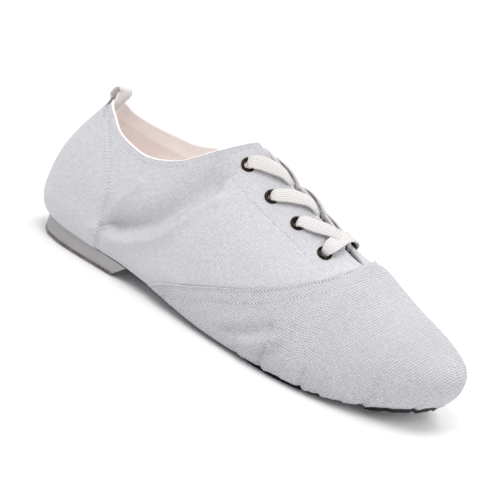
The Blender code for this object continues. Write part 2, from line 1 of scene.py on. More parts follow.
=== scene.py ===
# A right jazz shoe of white cotton canvas with a split suede sole, low heel and four pairs of
# eyelets. Metres; +X to the toe, +Z up, the outer side faces -Y; the origin is under the heel.
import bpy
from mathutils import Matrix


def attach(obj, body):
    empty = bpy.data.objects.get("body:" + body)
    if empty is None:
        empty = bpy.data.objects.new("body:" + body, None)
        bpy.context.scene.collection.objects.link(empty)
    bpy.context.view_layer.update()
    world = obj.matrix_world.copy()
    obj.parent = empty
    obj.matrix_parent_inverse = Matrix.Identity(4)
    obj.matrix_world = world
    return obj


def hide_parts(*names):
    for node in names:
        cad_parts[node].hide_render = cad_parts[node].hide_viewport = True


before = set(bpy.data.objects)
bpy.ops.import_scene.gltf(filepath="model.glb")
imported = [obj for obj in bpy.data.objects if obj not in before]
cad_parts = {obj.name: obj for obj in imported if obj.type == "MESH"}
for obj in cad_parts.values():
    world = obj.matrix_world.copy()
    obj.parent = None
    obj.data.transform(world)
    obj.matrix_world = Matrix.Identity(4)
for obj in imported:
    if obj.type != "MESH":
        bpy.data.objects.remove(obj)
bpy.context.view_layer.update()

import math
import random

import bmesh
import bpy
from mathutils import Matrix, Vector, noise
from mathutils.bvhtree import BVHTree
from mathutils.kdtree import KDTree

mm = 0.001
print("frame loaded:", len(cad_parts), "nodes")


# ---------------------------------------------------------------- materials
def linear(hexColour):
    # sRGB hex to linear colour
    out = []
    for start in (0, 2, 4):
        value = int(hexColour[start:start + 2], 16) / 255
        out.append(value / 12.92 if value <= 0.04045 else ((value + 0.055) / 1.055) ** 2.4)
    return (out[0], out[1], out[2], 1.0)


def addNode(tree, kind, settings=None, links=None):
    # settings: attribute or input name to value; links: input name to the socket that feeds it
    node = tree.nodes.new(kind)
    for name, value in (settings or {}).items():
        if isinstance(name, int) or name in node.inputs and not hasattr(node, str(name)):
            node.inputs[name].default_value = value
        else:
            setattr(node, name, value)
    for name, socket in (links or {}).items():
        tree.links.new(socket, node.inputs[name])
    return node


def newMaterial(name, colour, roughness, metallic=0.0, sheen=0.0, specular=0.5):
    made = bpy.data.materials.new(name)
    made.use_nodes = True
    shader = made.node_tree.nodes["Principled BSDF"]
    shader.inputs["Base Color"].default_value = linear(colour)
    shader.inputs["Roughness"].default_value = roughness
    shader.inputs["Metallic"].default_value = metallic
    shader.inputs["Sheen Weight"].default_value = sheen
    shader.inputs["Sheen Roughness"].default_value = 0.5
    shader.inputs["Specular IOR Level"].default_value = specular
    return made, made.node_tree, shader


# Canvas: plain-woven cotton, two thread sets at right angles, matt with a slight nap. The real
# threads are 0.5 mm apart; they are drawn coarser so that the cross-hatch shows.
canvasLook = {"pitch": 1.0, "bump": 0.45, "light": "D4D3D7", "dark": "BFBEC4", "slub": 0.9}


def weave(tree, pattern, pitch, slub):
    # Height of a plain weave: raised threads both ways, made uneven by long thin noise.
    split = addNode(tree, "ShaderNodeSeparateXYZ", links={0: pattern})
    rows = []
    for axis, stretch in (("X", (1.0, 0.3, 1.0)), ("Y", (0.3, 1.0, 1.0))):
        turn = addNode(tree, "ShaderNodeMath", {"operation": "MULTIPLY", 1: math.tau / pitch},
                       {0: split.outputs[axis]})
        wave = addNode(tree, "ShaderNodeMath", {"operation": "SINE"}, {0: turn.outputs[0]})
        place = addNode(tree, "ShaderNodeMapping", {"Scale": stretch}, {"Vector": pattern})
        uneven = addNode(tree, "ShaderNodeTexNoise", {"Scale": 1.1 / pitch, "Detail": 2.0},
                         {"Vector": place.outputs[0]})
        centred = addNode(tree, "ShaderNodeMath", {"operation": "SUBTRACT", 1: 0.5},
                          {0: uneven.outputs[0]})
        strong = addNode(tree, "ShaderNodeMath", {"operation": "MULTIPLY", 1: slub * 6},
                         {0: centred.outputs[0]})
        rows.append(addNode(tree, "ShaderNodeMath", {"operation": "ADD"},
                            {0: wave.outputs[0], 1: strong.outputs[0]}))
    return addNode(tree, "ShaderNodeMath", {"operation": "ADD"},
                   {0: rows[0].outputs[0], 1: rows[1].outputs[0]})


def clothMaterial(name, look, turn, roughness=0.92, sheen=0.25):
    made, tree, shader = newMaterial(name, look["light"], roughness, sheen=sheen, specular=0.25)
    # the UV map is in metres, so a scale of 1000 gives millimetres
    uv = addNode(tree, "ShaderNodeUVMap", {"uv_map": "pattern"})
    place = addNode(tree, "ShaderNodeMapping",
                    {"Scale": (1000.0, 1000.0, 1000.0), "Rotation": (0.0, 0.0, math.radians(turn))},
                    {"Vector": uv.outputs[0]})
    height = weave(tree, place.outputs[0], look["pitch"], look["slub"])
    # The colour follows the weave's height and a soft cloud: lighter where the threads stand up and darker where the
    # cloth sinks between them, which is painted shade in the weave's hollows, mixed with the threads' own uneven
    # tone.
    share = addNode(tree, "ShaderNodeMapRange",
                    {"From Min": -3.0, "From Max": 3.0, "To Min": 0.0, "To Max": 1.0},
                    {"Value": height.outputs[0]})
    coords = addNode(tree, "ShaderNodeTexCoord")
    cloud = addNode(tree, "ShaderNodeTexNoise", {"Scale": 28.0, "Detail": 3.0},
                    {"Vector": coords.outputs["Object"]})
    mixed = addNode(tree, "ShaderNodeMath", {"operation": "MULTIPLY_ADD", 1: 0.5, 2: -0.25},
                    {0: cloud.outputs[0]})
    total = addNode(tree, "ShaderNodeMath", {"operation": "ADD", "use_clamp": True},
                    {0: share.outputs[0], 1: mixed.outputs[0]})
    colour = addNode(tree, "ShaderNodeMix", {"data_type": "RGBA"}, {0: total.outputs[0]})
    colour.inputs[6].default_value = linear(look["dark"])
    colour.inputs[7].default_value = linear(look["light"])
    tree.links.new(colour.outputs[2], shader.inputs["Base Color"])
    bump = addNode(tree, "ShaderNodeBump", {"Strength": look["bump"], "Distance": 0.00025},
                   {"Height": height.outputs[0]})
    tree.links.new(bump.outputs[0], shader.inputs["Normal"])
    return made


# Split suede: fine short nap over grey leather, no shine, mottled in patches of a few mm.
suedeLook = {"light": "B4B6B8", "dark": "909395", "nap": 900.0, "patch": 160.0}
# Pigskin: darker grey suede with groups of pores about 0.7 mm wide.
pigskinLook = {"light": "8A8580", "dark": "55514E", "nap": 700.0, "patch": 120.0}


def napMaterial(name, look, pores=False):
    made, tree, shader = newMaterial(name, look["light"], 0.95, sheen=0.4, specular=0.15)
    coords = addNode(tree, "ShaderNodeTexCoord")
    nap = addNode(tree, "ShaderNodeTexNoise", {"Scale": look["nap"], "Detail": 3.0},
                  {"Vector": coords.outputs["Object"]})
    patch = addNode(tree, "ShaderNodeTexNoise", {"Scale": look["patch"], "Detail": 2.0},
                    {"Vector": coords.outputs["Object"]})
    total = addNode(tree, "ShaderNodeMath", {"operation": "ADD"},
                    {0: nap.outputs[0], 1: patch.outputs[0]})
    share = addNode(tree, "ShaderNodeMapRange",
                    {"From Min": 0.7, "From Max": 1.3, "To Min": 0.0, "To Max": 1.0},
                    {"Value": total.outputs[0]})
    last = share
    # pores darken the colour inside each pit: painted shade in the pores, over the suede's own mottled tone
    if pores:
        cells = addNode(tree, "ShaderNodeTexVoronoi", {"Scale": 620.0},
                        {"Vector": coords.outputs["Object"]})
        pit = addNode(tree, "ShaderNodeMapRange",
                      {"From Min": 0.08, "From Max": 0.35, "To Min": 0.0, "To Max": 1.0},
                      {"Value": cells.outputs[0]})
        last = addNode(tree, "ShaderNodeMath", {"operation": "MULTIPLY"},
                       {0: share.outputs[0], 1: pit.outputs[0]})
    colour = addNode(tree, "ShaderNodeMix", {"data_type": "RGBA"}, {0: last.outputs[0]})
    colour.inputs[6].default_value = linear(look["dark"])
    colour.inputs[7].default_value = linear(look["light"])
    tree.links.new(colour.outputs[2], shader.inputs["Base Color"])
    bump = addNode(tree, "ShaderNodeBump", {"Strength": 0.5, "Distance": 0.0003},
                   {"Height": last.outputs[0]})
    tree.links.new(bump.outputs[0], shader.inputs["Normal"])
    return made


def ribbedMaterial(name, light, dark, ribs, roughness=0.85):
    # Woven lace or tape: UV x runs along it and y across it, both in metres.
    made, tree, shader = newMaterial(name, light, roughness, sheen=0.3, specular=0.3)
    uv = addNode(tree, "ShaderNodeUVMap", {"uv_map": "pattern"})
    split = addNode(tree, "ShaderNodeSeparateXYZ", links={0: uv.outputs[0]})
    across = addNode(tree, "ShaderNodeMath", {"operation": "MULTIPLY", 1: math.tau / ribs["pitch"]},
                     {0: split.outputs["Y"]})
    rib = addNode(tree, "ShaderNodeMath", {"operation": "SINE"}, {0: across.outputs[0]})
    along = addNode(tree, "ShaderNodeMath", {"operation": "MULTIPLY", 1: math.tau / ribs["pick"]},
                    {0: split.outputs["X"]})
    pick = addNode(tree, "ShaderNodeMath", {"operation": "SINE"}, {0: along.outputs[0]})
    small = addNode(tree, "ShaderNodeMath", {"operation": "MULTIPLY_ADD", 1: 0.2},
                    {0: pick.outputs[0], 2: rib.outputs[0]})
    # lighter on the ribs and darker in the grooves between them: painted shade in the grooves
    share = addNode(tree, "ShaderNodeMapRange",
                    {"From Min": -1.2, "From Max": 0.6, "To Min": 0.0, "To Max": 1.0},
                    {"Value": small.outputs[0]})
    colour = addNode(tree, "ShaderNodeMix", {"data_type": "RGBA"}, {0: share.outputs[0]})
    colour.inputs[6].default_value = linear(dark)
    colour.inputs[7].default_value = linear(light)
    tree.links.new(colour.outputs[2], shader.inputs["Base Color"])
    bump = addNode(tree, "ShaderNodeBump", {"Strength": 0.4, "Distance": 0.0003},
                   {"Height": small.outputs[0]})
    tree.links.new(bump.outputs[0], shader.inputs["Normal"])
    return made


vampCanvas = clothMaterial("vampCanvas", dict(canvasLook, pitch=1.3, bump=0.6, slub=0.6, dark="BAB9C0"), 0.0)
quarterCanvas = clothMaterial("quarterCanvas", dict(canvasLook, bump=0.28, slub=1.3), 8.0)
tongueCanvas = clothMaterial("tongueCanvas", dict(canvasLook, light="E2E0E2"), 0.0)
liningCotton = clothMaterial("liningCotton", dict(canvasLook, light="F8EDEB", dark="ECDFDC",
                                                   pitch=1.0, bump=0.3), 0.0)
insoleCotton = clothMaterial("insoleCotton", dict(canvasLook, light="EFE7E0", dark="DDD2C8",
                                                   pitch=1.2, bump=0.4), 45.0)
facingCotton = ribbedMaterial("facingCotton", "F8F0EE", "EBE0DC", {"pitch": 0.0300, "pick": 0.0016})
laceCotton = ribbedMaterial("laceCotton", "E3E0DF", "C4C0BF", {"pitch": 0.00115, "pick": 0.0013})
tapeCotton = ribbedMaterial("tapeCotton", "EAE6E6", "D8D3D3", {"pitch": 0.0009, "pick": 0.0011})
suede = napMaterial("splitSuede", suedeLook)
# The cut edge of the suede, dyed dark and darkened further as painted shade for the shadow along the shoe's lower
# edge.
suedeEdgeDyeAndShade = newMaterial("dyedSuedeEdgeAndPaintedShade", "1E1F22", 0.85, sheen=0.2, specular=0.2)[0]
pigskin = napMaterial("pigskinSuede", pigskinLook, pores=True)
# Rolled brass with a black-nickel bath, worn to bronze: dark, sharp highlights.
blackNickel = newMaterial("blackNickel", "2C231F", 0.16, metallic=1.0)[0]
# Polyester sewing thread, a little glossier than the canvas.
canvasThread = newMaterial("canvasThread", "E4E2E5", 0.8, sheen=0.2)[0]
suedeThread = newMaterial("suedeThread", "DDDDDD", 0.7, sheen=0.2)[0]
# Needle holes: flat dark discs, painted shade in the holes.
canvasHoleShade = newMaterial("canvasNeedleHoleShade", "84828C", 1.0, specular=0.0)[0]
suedeHoleShade = newMaterial("suedeNeedleHoleShade", "17181A", 1.0, specular=0.0)[0]


def rubberMaterial():
    # Moulded rubber heel, painted light grey: even, satin, with a very fine orange peel.
    made, tree, shader = newMaterial("heelRubber", "A7A4A6", 0.5, specular=0.4)
    coords = addNode(tree, "ShaderNodeTexCoord")
    peel = addNode(tree, "ShaderNodeTexNoise", {"Scale": 650.0, "Detail": 2.0},
                   {"Vector": coords.outputs["Object"]})
    cloud = addNode(tree, "ShaderNodeTexNoise", {"Scale": 60.0, "Detail": 3.0},
                    {"Vector": coords.outputs["Object"]})
    colour = addNode(tree, "ShaderNodeMix", {"data_type": "RGBA"}, {0: cloud.outputs[0]})
    colour.inputs[6].default_value = linear("9C999B")
    colour.inputs[7].default_value = linear("B4B1B3")
    tree.links.new(colour.outputs[2], shader.inputs["Base Color"])
    bump = addNode(tree, "ShaderNodeBump", {"Strength": 0.15, "Distance": 0.0002},
                   {"Height": peel.outputs[0]})
    tree.links.new(bump.outputs[0], shader.inputs["Normal"])
    return made


heelRubber = rubberMaterial()
print("materials made")

# ---------------------------------------------------------------- the last
last = {
    "length": 0.243, "ball": 0.089, "heel": 0.061, "collar": 0.0500, "throat": 0.0104,
    "collarHeight": 0.0745, "instepHeight": 0.0925, "toeHeight": 0.0400, "sideRise": 0.0170,
    "heelRise": 0.0090, "toeSpring": 0.0122, "toeSwing": 0.0080, "archLift": 0.0030,
    "heelToOrigin": 0.0340, "ballSeat": 0.0018, "underShare": 0.82, "roundHandle": 0.5523,
    "wall": 0.0018, "throatEnd": 15, "steps": 20,
}
# From the heel back to the toe tip. base, under, edge and topX are distances from the heel back
# in shares of the length; outer and inner are half widths in shares of the heel or ball width;
# top is a share of the named height, opening the half opening in shares of the named width.
sectionColumns = ("base", "under", "edge", "topX", "widthOf", "outer", "inner",
                  "topOf", "top", "openingOf", "opening", "wide", "lean")
sectionRows = (
    (0.107, 0.029, 0.0000, 0.0658, "heel", 0.000, 0.000, "collar", 1.000, "collar", 0.000, 0.76, 0.60),
    (0.111, 0.037, 0.0107, 0.0761, "heel", 0.213, 0.213, "collar", 0.980, "collar", 0.125, 0.76, 0.60),
    (0.128, 0.062, 0.0412, 0.1008, "heel", 0.369, 0.369, "collar", 0.933, "collar", 0.210, 0.80, 0.60),
    (0.156, 0.103, 0.0905, 0.1358, "heel", 0.462, 0.459, "collar", 0.890, "collar", 0.340, 0.88, 0.60),
    (0.202, 0.165, 0.1564, 0.1811, "heel", 0.502, 0.489, "collar", 0.872, "collar", 0.440, 0.94, 0.60),
    (0.251, 0.230, 0.2263, 0.2346, "heel", 0.521, 0.475, "collar", 0.876, "collar", 0.490, 1.00, 0.60),
    (0.305, 0.296, 0.2963, 0.3004, "ball", 0.373, 0.317, "collar", 0.966, "collar", 0.476, 1.00, 0.62),
    (0.358, 0.358, 0.3580, 0.3580, "ball", 0.393, 0.324, "instep", 0.902, "collar", 0.340, 1.00, 0.62),
    (0.403, 0.403, 0.4033, 0.4060, "ball", 0.416, 0.340, "instep", 0.986, "collar", 0.125, 1.00, 0.64),
    (0.440, 0.440, 0.4424, 0.4250, "ball", 0.435, 0.362, "instep", 0.984, "throat", 0.400, 1.00, 0.66),
    (0.494, 0.494, 0.4979, 0.4938, "ball", 0.461, 0.393, "instep", 0.892, "throat", 0.420, 0.97, 0.69),
    (0.549, 0.553, 0.5617, 0.5638, "ball", 0.485, 0.430, "instep", 0.827, "throat", 0.425, 0.97, 0.73),
    (0.605, 0.613, 0.6255, 0.6337, "ball", 0.502, 0.463, "instep", 0.746, "throat", 0.400, 0.95, 0.78),
    (0.654, 0.669, 0.6811, 0.6872, "ball", 0.506, 0.485, "instep", 0.681, "throat", 0.360, 0.92, 0.87),
    (0.681, 0.704, 0.7160, 0.7119, "ball", 0.501, 0.494, "instep", 0.657, "throat", 0.250, 0.90, 0.95),
    (0.704, 0.733, 0.7469, 0.7222, "ball", 0.490, 0.497, "instep", 0.649, "throat", 0.000, 0.90, 1.00),
    (0.751, 0.782, 0.8004, 0.7757, "ball", 0.453, 0.489, "instep", 0.582, "throat", 0.000, 0.88, 1.00),
    (0.794, 0.831, 0.8539, 0.8251, "ball", 0.391, 0.464, "instep", 0.530, "throat", 0.000, 0.85, 0.95),
    (0.831, 0.879, 0.9053, 0.8642, "ball", 0.303, 0.416, "toe", 1.150, "throat", 0.000, 0.80, 0.88),
    (0.858, 0.916, 0.9527, 0.8930, "ball", 0.200, 0.345, "toe", 1.060, "throat", 0.000, 0.72, 0.80),
    (0.877, 0.942, 0.9856, 0.9136, "ball", 0.060, 0.243, "toe", 1.000, "throat", 0.000, 0.64, 0.73),
    (0.885, 0.955, 1.0000, 0.9218, "ball", -0.090, 0.090, "toe", 0.970, "throat", 0.000, 0.60, 0.70),
)
# Height of the upper's bottom over the ball: shares of the length, heel rise and toe spring.
bottomRows = ((0.00, 1.00, 0.0), (0.08, 0.89, 0.0), (0.18, 0.767, 0.0), (0.26, 0.69, 0.0),
              (0.34, 0.49, 0.0), (0.42, 0.233, 0.0), (0.48, 0.07, 0.0), (0.54, 0.0, 0.0),
              (0.60, 0.0, 0.0), (0.68, 0.0, 0.0), (0.74, 0.0, 0.0), (0.80, 0.0, 0.066),
              (0.86, 0.0, 0.254), (0.92, 0.0, 0.557), (1.00, 0.0, 1.0))
# Seams from the side: distance from the heel back against height, both in mm.
vampSeam = ((80.0, 2.8), (87.0, 10.9), (107.5, 21.0), (139.0, 36.0), (164.0, 51.0),
            (173.0, 58.0), (175.5, 60.0))
counterSeam = ((47.5, 7.6), (46.5, 23.0), (44.5, 38.0), (41.8, 45.0), (36.5, 53.0),
               (27.5, 62.0), (17.5, 69.0), (14.0, 74.0))
lastRow = len(sectionRows) - 1


def smoothStep(value):
    share = min(max(value, 0.0), 1.0)
    return share * share * (3 - 2 * share)


def glide(values, place, ends="open"):
    # smooth curve through evenly numbered values
    first = min(int(place), len(values) - 2)
    part = place - first
    here, there = values[first], values[first + 1]
    before = values[first - 1] if first > 0 else 2 * here - there
    after = values[first + 2] if first + 2 < len(values) else 2 * there - here
    if ends == "level":
        before = there if first == 0 else before
        after = here if first + 2 == len(values) else after
    rise, fall = (there - before) / 2, (after - here) / 2
    return (here * (2 * part ** 3 - 3 * part ** 2 + 1) + rise * (part ** 3 - 2 * part ** 2 + part)
            + there * (3 * part ** 2 - 2 * part ** 3) + fall * (part ** 3 - part ** 2))


def placeAmong(stops, value):
    for number in range(len(stops) - 1):
        if value <= stops[number + 1]:
            return number + max(value - stops[number], 0.0) / (stops[number + 1] - stops[number])
    return float(len(stops) - 1)


bottomStops = [row[0] * last["length"] for row in bottomRows]
bottomHeights = [last["ballSeat"] + row[1] * last["heelRise"] + row[2] * last["toeSpring"]
                 for row in bottomRows]


def bottomHeight(x):
    return max(glide(bottomHeights, placeAmong(bottomStops, x)), last["ballSeat"])


def middle(x):
    return last["toeSwing"] * smoothStep((x / last["length"] - 0.6) / 0.4)


def archOf(side, x):
    return 0.0 if side < 0 else last["archLift"] * smoothStep(1 - abs(x / last["length"] - 0.36) / 0.17)


def readColumns():
    scaleOf = {"heel": last["heel"], "ball": last["ball"], "collar": last["collar"],
               "throat": last["throat"]}
    heightOf = {"collar": last["collarHeight"], "instep": last["instepHeight"], "toe": last["toeHeight"]}
    columns = {name: [] for name in sectionColumns}
    for row in sectionRows:
        entry = dict(zip(sectionColumns, row))
        for name in ("base", "under", "edge", "topX"):
            entry[name] *= last["length"]
        for name in ("outer", "inner"):
            entry[name] *= scaleOf[entry["widthOf"]]
        entry["opening"] *= scaleOf[entry["openingOf"]]
        entry["top"] *= heightOf[entry["topOf"]]
        entry["wide"] *= last["sideRise"]
        for name in sectionColumns:
            columns[name].append(entry[name])
    return columns


columns = readColumns()


# The soft rim sags ahead of the collar's middle, on the inner side more: row, then mm.
rimSag = {-1: ((5.0, 0.3), (6.0, 0.8), (7.0, 0.6), (8.0, 0.0), (9.0, 0.0)),
          1: ((4.5, 0.3), (5.5, 1.0), (7.0, 2.6), (8.2, 4.8), (9.2, 2.2), (10.2, 0.4), (11.0, 0.0))}


def sagOf(side, row):
    marks = rimSag[side]
    if row <= marks[0][0] - 1.5 or row >= marks[-1][0]:
        return 0.0
    if row <= marks[0][0]:
        return marks[0][1] * smoothStep((row - marks[0][0] + 1.5) / 1.5)
    return max(glide([mark[1] for mark in marks], placeAmong([mark[0] for mark in marks], row)), 0.0)


def guidePoints(side, row):
    # base, under edge, widest point and top of one half section
    value = {name: glide(columns[name], row, "level") for name in ("base", "under", "edge", "wide", "lean")}
    half = glide(columns["outer" if side < 0 else "inner"], row)
    end = last["throatEnd"]
    opening = glide(columns["opening"][:end + 1], row) if row < end else 0.0
    if row <= end:
        topX, top = (glide(columns[name][:end + 1], row, "level") for name in ("topX", "top"))
    else:
        topX, top = (glide(columns[name][end:], row - end, "level") for name in ("topX", "top"))
    edgeY = side * half
    underY = middle(value["under"]) + (edgeY - middle(value["under"])) * last["underShare"]
    base = Vector((value["base"], middle(value["base"]), bottomHeight(value["base"])))
    under = Vector((value["under"], underY, bottomHeight(value["under"]) + archOf(side, value["under"])))
    edge = Vector((value["edge"], edgeY, bottomHeight(value["edge"]) + value["wide"]))
    crown = Vector((topX, middle(topX) + side * opening, top))
    crown.z -= sagOf(side, row) * mm
    shift = Vector((last["heelToOrigin"], 0, 0))
    return base - shift, under - shift, edge - shift, crown - shift, value["lean"]


guides = {side: [guidePoints(side, number / last["steps"]) for number in range(lastRow * last["steps"] + 1)]
          for side in (-1, 1)}


def lastPoint(side, row, level):
    # level 0 to 1 crosses the bottom, 1 to 2 turns up, 2 to 3 is the side; past an edge of the
    # sheet the point goes on over the other side
    if level < 0:
        side, level = -side, -level
    if row < 0:
        side, row = -side, -row
    if row > lastRow:
        side, row = -side, 2 * lastRow - row
    beyond = 0.0
    if level > 3:
        if row >= last["throatEnd"]:
            side, level = -side, 6 - level
        else:
            beyond, level = level - 3, 3.0
    place = row * last["steps"]
    number = min(int(place), lastRow * last["steps"] - 1)
    part = place - number
    here, there = guides[side][number], guides[side][number + 1]
    base, under, edge, top = (here[n].lerp(there[n], part) for n in range(4))
    lean = here[4] + (there[4] - here[4]) * part
    if level <= 1:
        return base.lerp(under, level)
    if level <= 2:
        angle = (level - 1) * math.pi / 2
        point = under.lerp(edge, math.sin(angle))
        point.z = under.z + (edge.z - under.z) * (1 - math.cos(angle))
        return point
    share = level - 2
    stay = 1 - share
    handle = last["roundHandle"]
    inward = stay ** 3 + 3 * stay ** 2 * share + 3 * stay * share ** 2 * handle
    climb = 3 * stay ** 2 * share * handle + 3 * stay * share ** 2 * lean + share ** 3
    point = top.lerp(edge, inward)
    point.z = edge.z + (top.z - edge.z) * climb
    if beyond:
        point += (point - lastPoint(side, row, 2.98)) * beyond / 0.02
    return point


def outward(side, row, level):
    along = lastPoint(side, row + 0.08, level) - lastPoint(side, row - 0.08, level)
    up = lastPoint(side, row, level + 0.03) - lastPoint(side, row, level - 0.03)
    normal = along.cross(up)
    return normal.normalized() * -side if normal.length > 1e-12 else Vector((0, 0, -1))


def metresPerRow(side, row, level):
    return (lastPoint(side, row + 0.05, level) - lastPoint(side, row - 0.05, level)).length / 0.1


def levelBelow(side, row, distance):
    # the level that lies a distance below the top line, measured over the surface
    point, level, length = lastPoint(side, row, 3.0), 3.0, 0.0
    while length < distance and level > 2.0:
        level -= 0.01
        lower = lastPoint(side, row, level)
        length += (lower - point).length
        point = lower
    return level


def seamX(seam, z):
    if z <= seam[0][1] * mm:
        return seam[0][0] * mm
    if z >= seam[-1][1] * mm:
        slope = (seam[-1][0] - seam[-2][0]) / (seam[-1][1] - seam[-2][1])
        return (seam[-1][0] + slope * (z / mm - seam[-1][1])) * mm
    return glide([x * mm for x, height in seam], placeAmong([height * mm for x, height in seam], z))


def seamRow(seam, side, level, low, high):
    # the row at which a level meets a seam
    for _ in range(26):
        row = (low + high) / 2
        point = lastPoint(side, row, level)
        if point.x + last["heelToOrigin"] < seamX(seam, point.z):
            low = row
        else:
            high = row
    return (low + high) / 2


# ---------------------------------------------------------------- soft relief of the cloth
# Creases, seen from the outer side: distance from the heel back and height in mm, with the half
# width and the depth (minus goes in) in mm; above is the half width on the path's upper side, if
# it differs. side 0 means both sides.
creases = (
    {"side": -1, "path": ((44, 20), (49, 31), (54, 42), (58, 52)), "width": 2.6, "depth": 2.2},
    {"side": -1, "path": ((55, 26), (65, 31), (74, 38), (80, 46), (87, 58), (94, 68)), "width": 4.2, "above": 8.6,
     "depth": -7.0},
    {"side": -1, "path": ((54, 19), (66, 24), (77, 31), (85, 41), (93, 54), (100, 64)), "width": 3.6, "depth": 2.2},
    {"side": -1, "path": ((52, 25), (58, 29), (66, 34)), "width": 2.6, "depth": -0.9},
    {"side": -1, "path": ((30, 30), (38, 28), (45, 24)), "width": 6.0, "depth": -0.5},
    {"side": -1, "path": ((62, 14), (80, 22), (100, 30)), "width": 7.0, "depth": -0.5},
    {"side": -1, "path": ((138, 12), (149, 17), (158, 25)), "width": 3.6, "depth": -2.5},
    {"side": -1, "path": ((147, 10), (157, 15), (166, 23)), "width": 2.8, "depth": 1.6},
    {"side": -1, "path": ((158, 10), (166, 17), (171, 30)), "width": 3.4, "depth": -1.6},
    {"side": -1, "path": ((128, 20), (138, 26), (150, 29)), "width": 4.5, "depth": -0.9},
    {"side": -1, "path": ((176, 40), (188, 34), (200, 26)), "width": 6.0, "depth": 0.35},
    {"side": 1, "path": ((46, 22), (52, 34), (60, 46)), "width": 3.6, "depth": 0.8},
    {"side": 1, "path": ((54, 24), (66, 37), (82, 52), (92, 63)), "width": 7.0, "depth": -3.0},
    {"side": 1, "path": ((60, 20), (76, 32), (90, 50)), "width": 5.0, "depth": 0.8},
    {"side": 1, "path": ((135, 14), (148, 18), (160, 26)), "width": 3.4, "depth": -0.9},
    {"side": 1, "path": ((150, 12), (160, 18), (172, 30)), "width": 3.0, "depth": 0.6},
    {"side": 0, "path": ((12, 40), (10, 52), (13, 62)), "width": 6.0, "depth": -0.4},
)
# Gathers round the toe: plan centre in mm from the heel back, then angles in degrees.
gathers = {"centreX": 168.0, "centreY": 5.0, "valley": 1.25, "ridge": 0.75, "half": 1.25,
           "angles": (-118, -101, -88, -72, -60, -47, -36, -25, -13, -2, 10, 22, 35, 47, 61, 74, 90, 106)}
clothNoise = {"wide": 0.30, "wideScale": 32.0, "fine": 0.10, "fineScale": 95.0}
underSeam = {"from": 66.0, "to": 119.0, "width": 1.1, "depth": 0.45}
ballPatchRows = (
    (0.478, -0.020, 0.020), (0.500, -0.140, 0.110), (0.550, -0.270, 0.235), (0.610, -0.365, 0.335),
    (0.670, -0.392, 0.405), (0.730, -0.368, 0.425), (0.780, -0.305, 0.400), (0.825, -0.205, 0.330),
    (0.855, -0.095, 0.230), (0.868, 0.040, 0.090))
toePatchRows = (
    (-0.262, 0.874, 0.880), (-0.225, 0.873, 0.905), (-0.130, 0.879, 0.931), (0.000, 0.889, 0.949),
    (0.120, 0.889, 0.951), (0.230, 0.880, 0.940), (0.320, 0.866, 0.915), (0.365, 0.866, 0.874))

for crease in creases:
    reach = 2.5 * max(crease["width"], crease.get("above", 0.0))
    crease["box"] = (min(x for x, z in crease["path"]) - reach, max(x for x, z in crease["path"]) + reach,
                     min(z for x, z in crease["path"]) - reach, max(z for x, z in crease["path"]) + reach)


def distanceToPath(path, x, z):
    # minus below the path
    best = 1e9
    for (ax, az), (bx, bz) in zip(path, path[1:]):
        dx, dz = bx - ax, bz - az
        share = min(max(((x - ax) * dx + (z - az) * dz) / (dx * dx + dz * dz), 0.0), 1.0)
        away = math.hypot(x - ax - dx * share, z - az - dz * share)
        if away < abs(best):
            best = math.copysign(away, dx * (z - az) - dz * (x - ax))
    return best


ballStops = [row[0] * last["length"] / mm for row in ballPatchRows]
toeStops = [row[0] * last["ball"] / mm for row in toePatchRows]


def outsidePatches(x, y):
    # how far a plan point in mm lies outside the two suede patches, roughly
    if x < ballStops[0] or x > ballStops[-1]:
        ball = min(abs(x - ballStops[0]), abs(x - ballStops[-1])) + 0.5 * abs(y)
    else:
        place = placeAmong(ballStops, x)
        low = glide([row[1] for row in ballPatchRows], place) * last["ball"] / mm
        high = glide([row[2] for row in ballPatchRows], place) * last["ball"] / mm
        ball = max(low - y, y - high, 0.0)
    if y < toeStops[0] or y > toeStops[-1]:
        toe = min(abs(y - toeStops[0]), abs(y - toeStops[-1])) + 0.5 * abs(x - 212)
    else:
        place = placeAmong(toeStops, y)
        rear = glide([row[1] for row in toePatchRows], place) * last["length"] / mm
        front = glide([row[2] for row in toePatchRows], place) * last["length"] / mm
        toe = max(rear - x, x - front, 0.0)
    return min(ball, toe)


def gatherDepth(point, level):
    if level > 2.45:
        return 0.0
    x = (point.x + last["heelToOrigin"]) / mm - gathers["centreX"]
    y = point.y / mm - gathers["centreY"]
    radius = math.hypot(x, y)
    if x < -32 or radius < 6:
        return 0.0
    turn = math.degrees(math.atan2(y, x))
    total = 0.0
    for number, angle in enumerate(gathers["angles"]):
        off = math.radians(turn - angle) * radius
        if abs(off) > 6:
            continue
        strength = 0.7 + 0.45 * math.sin(number * 2.4)
        total -= gathers["valley"] * strength * math.exp(-(off / gathers["half"]) ** 2)
        total += gathers["ridge"] * strength * math.exp(-((off - 2.3) / 1.5) ** 2)
    reach = 1 - smoothStep((level - 1.25) / (1.0 + 0.2 * math.sin(turn)))
    clear = smoothStep(outsidePatches(x + gathers["centreX"], y + gathers["centreY"]) / 3.5)
    return total * reach * clear * smoothStep((x + 32) / 14)


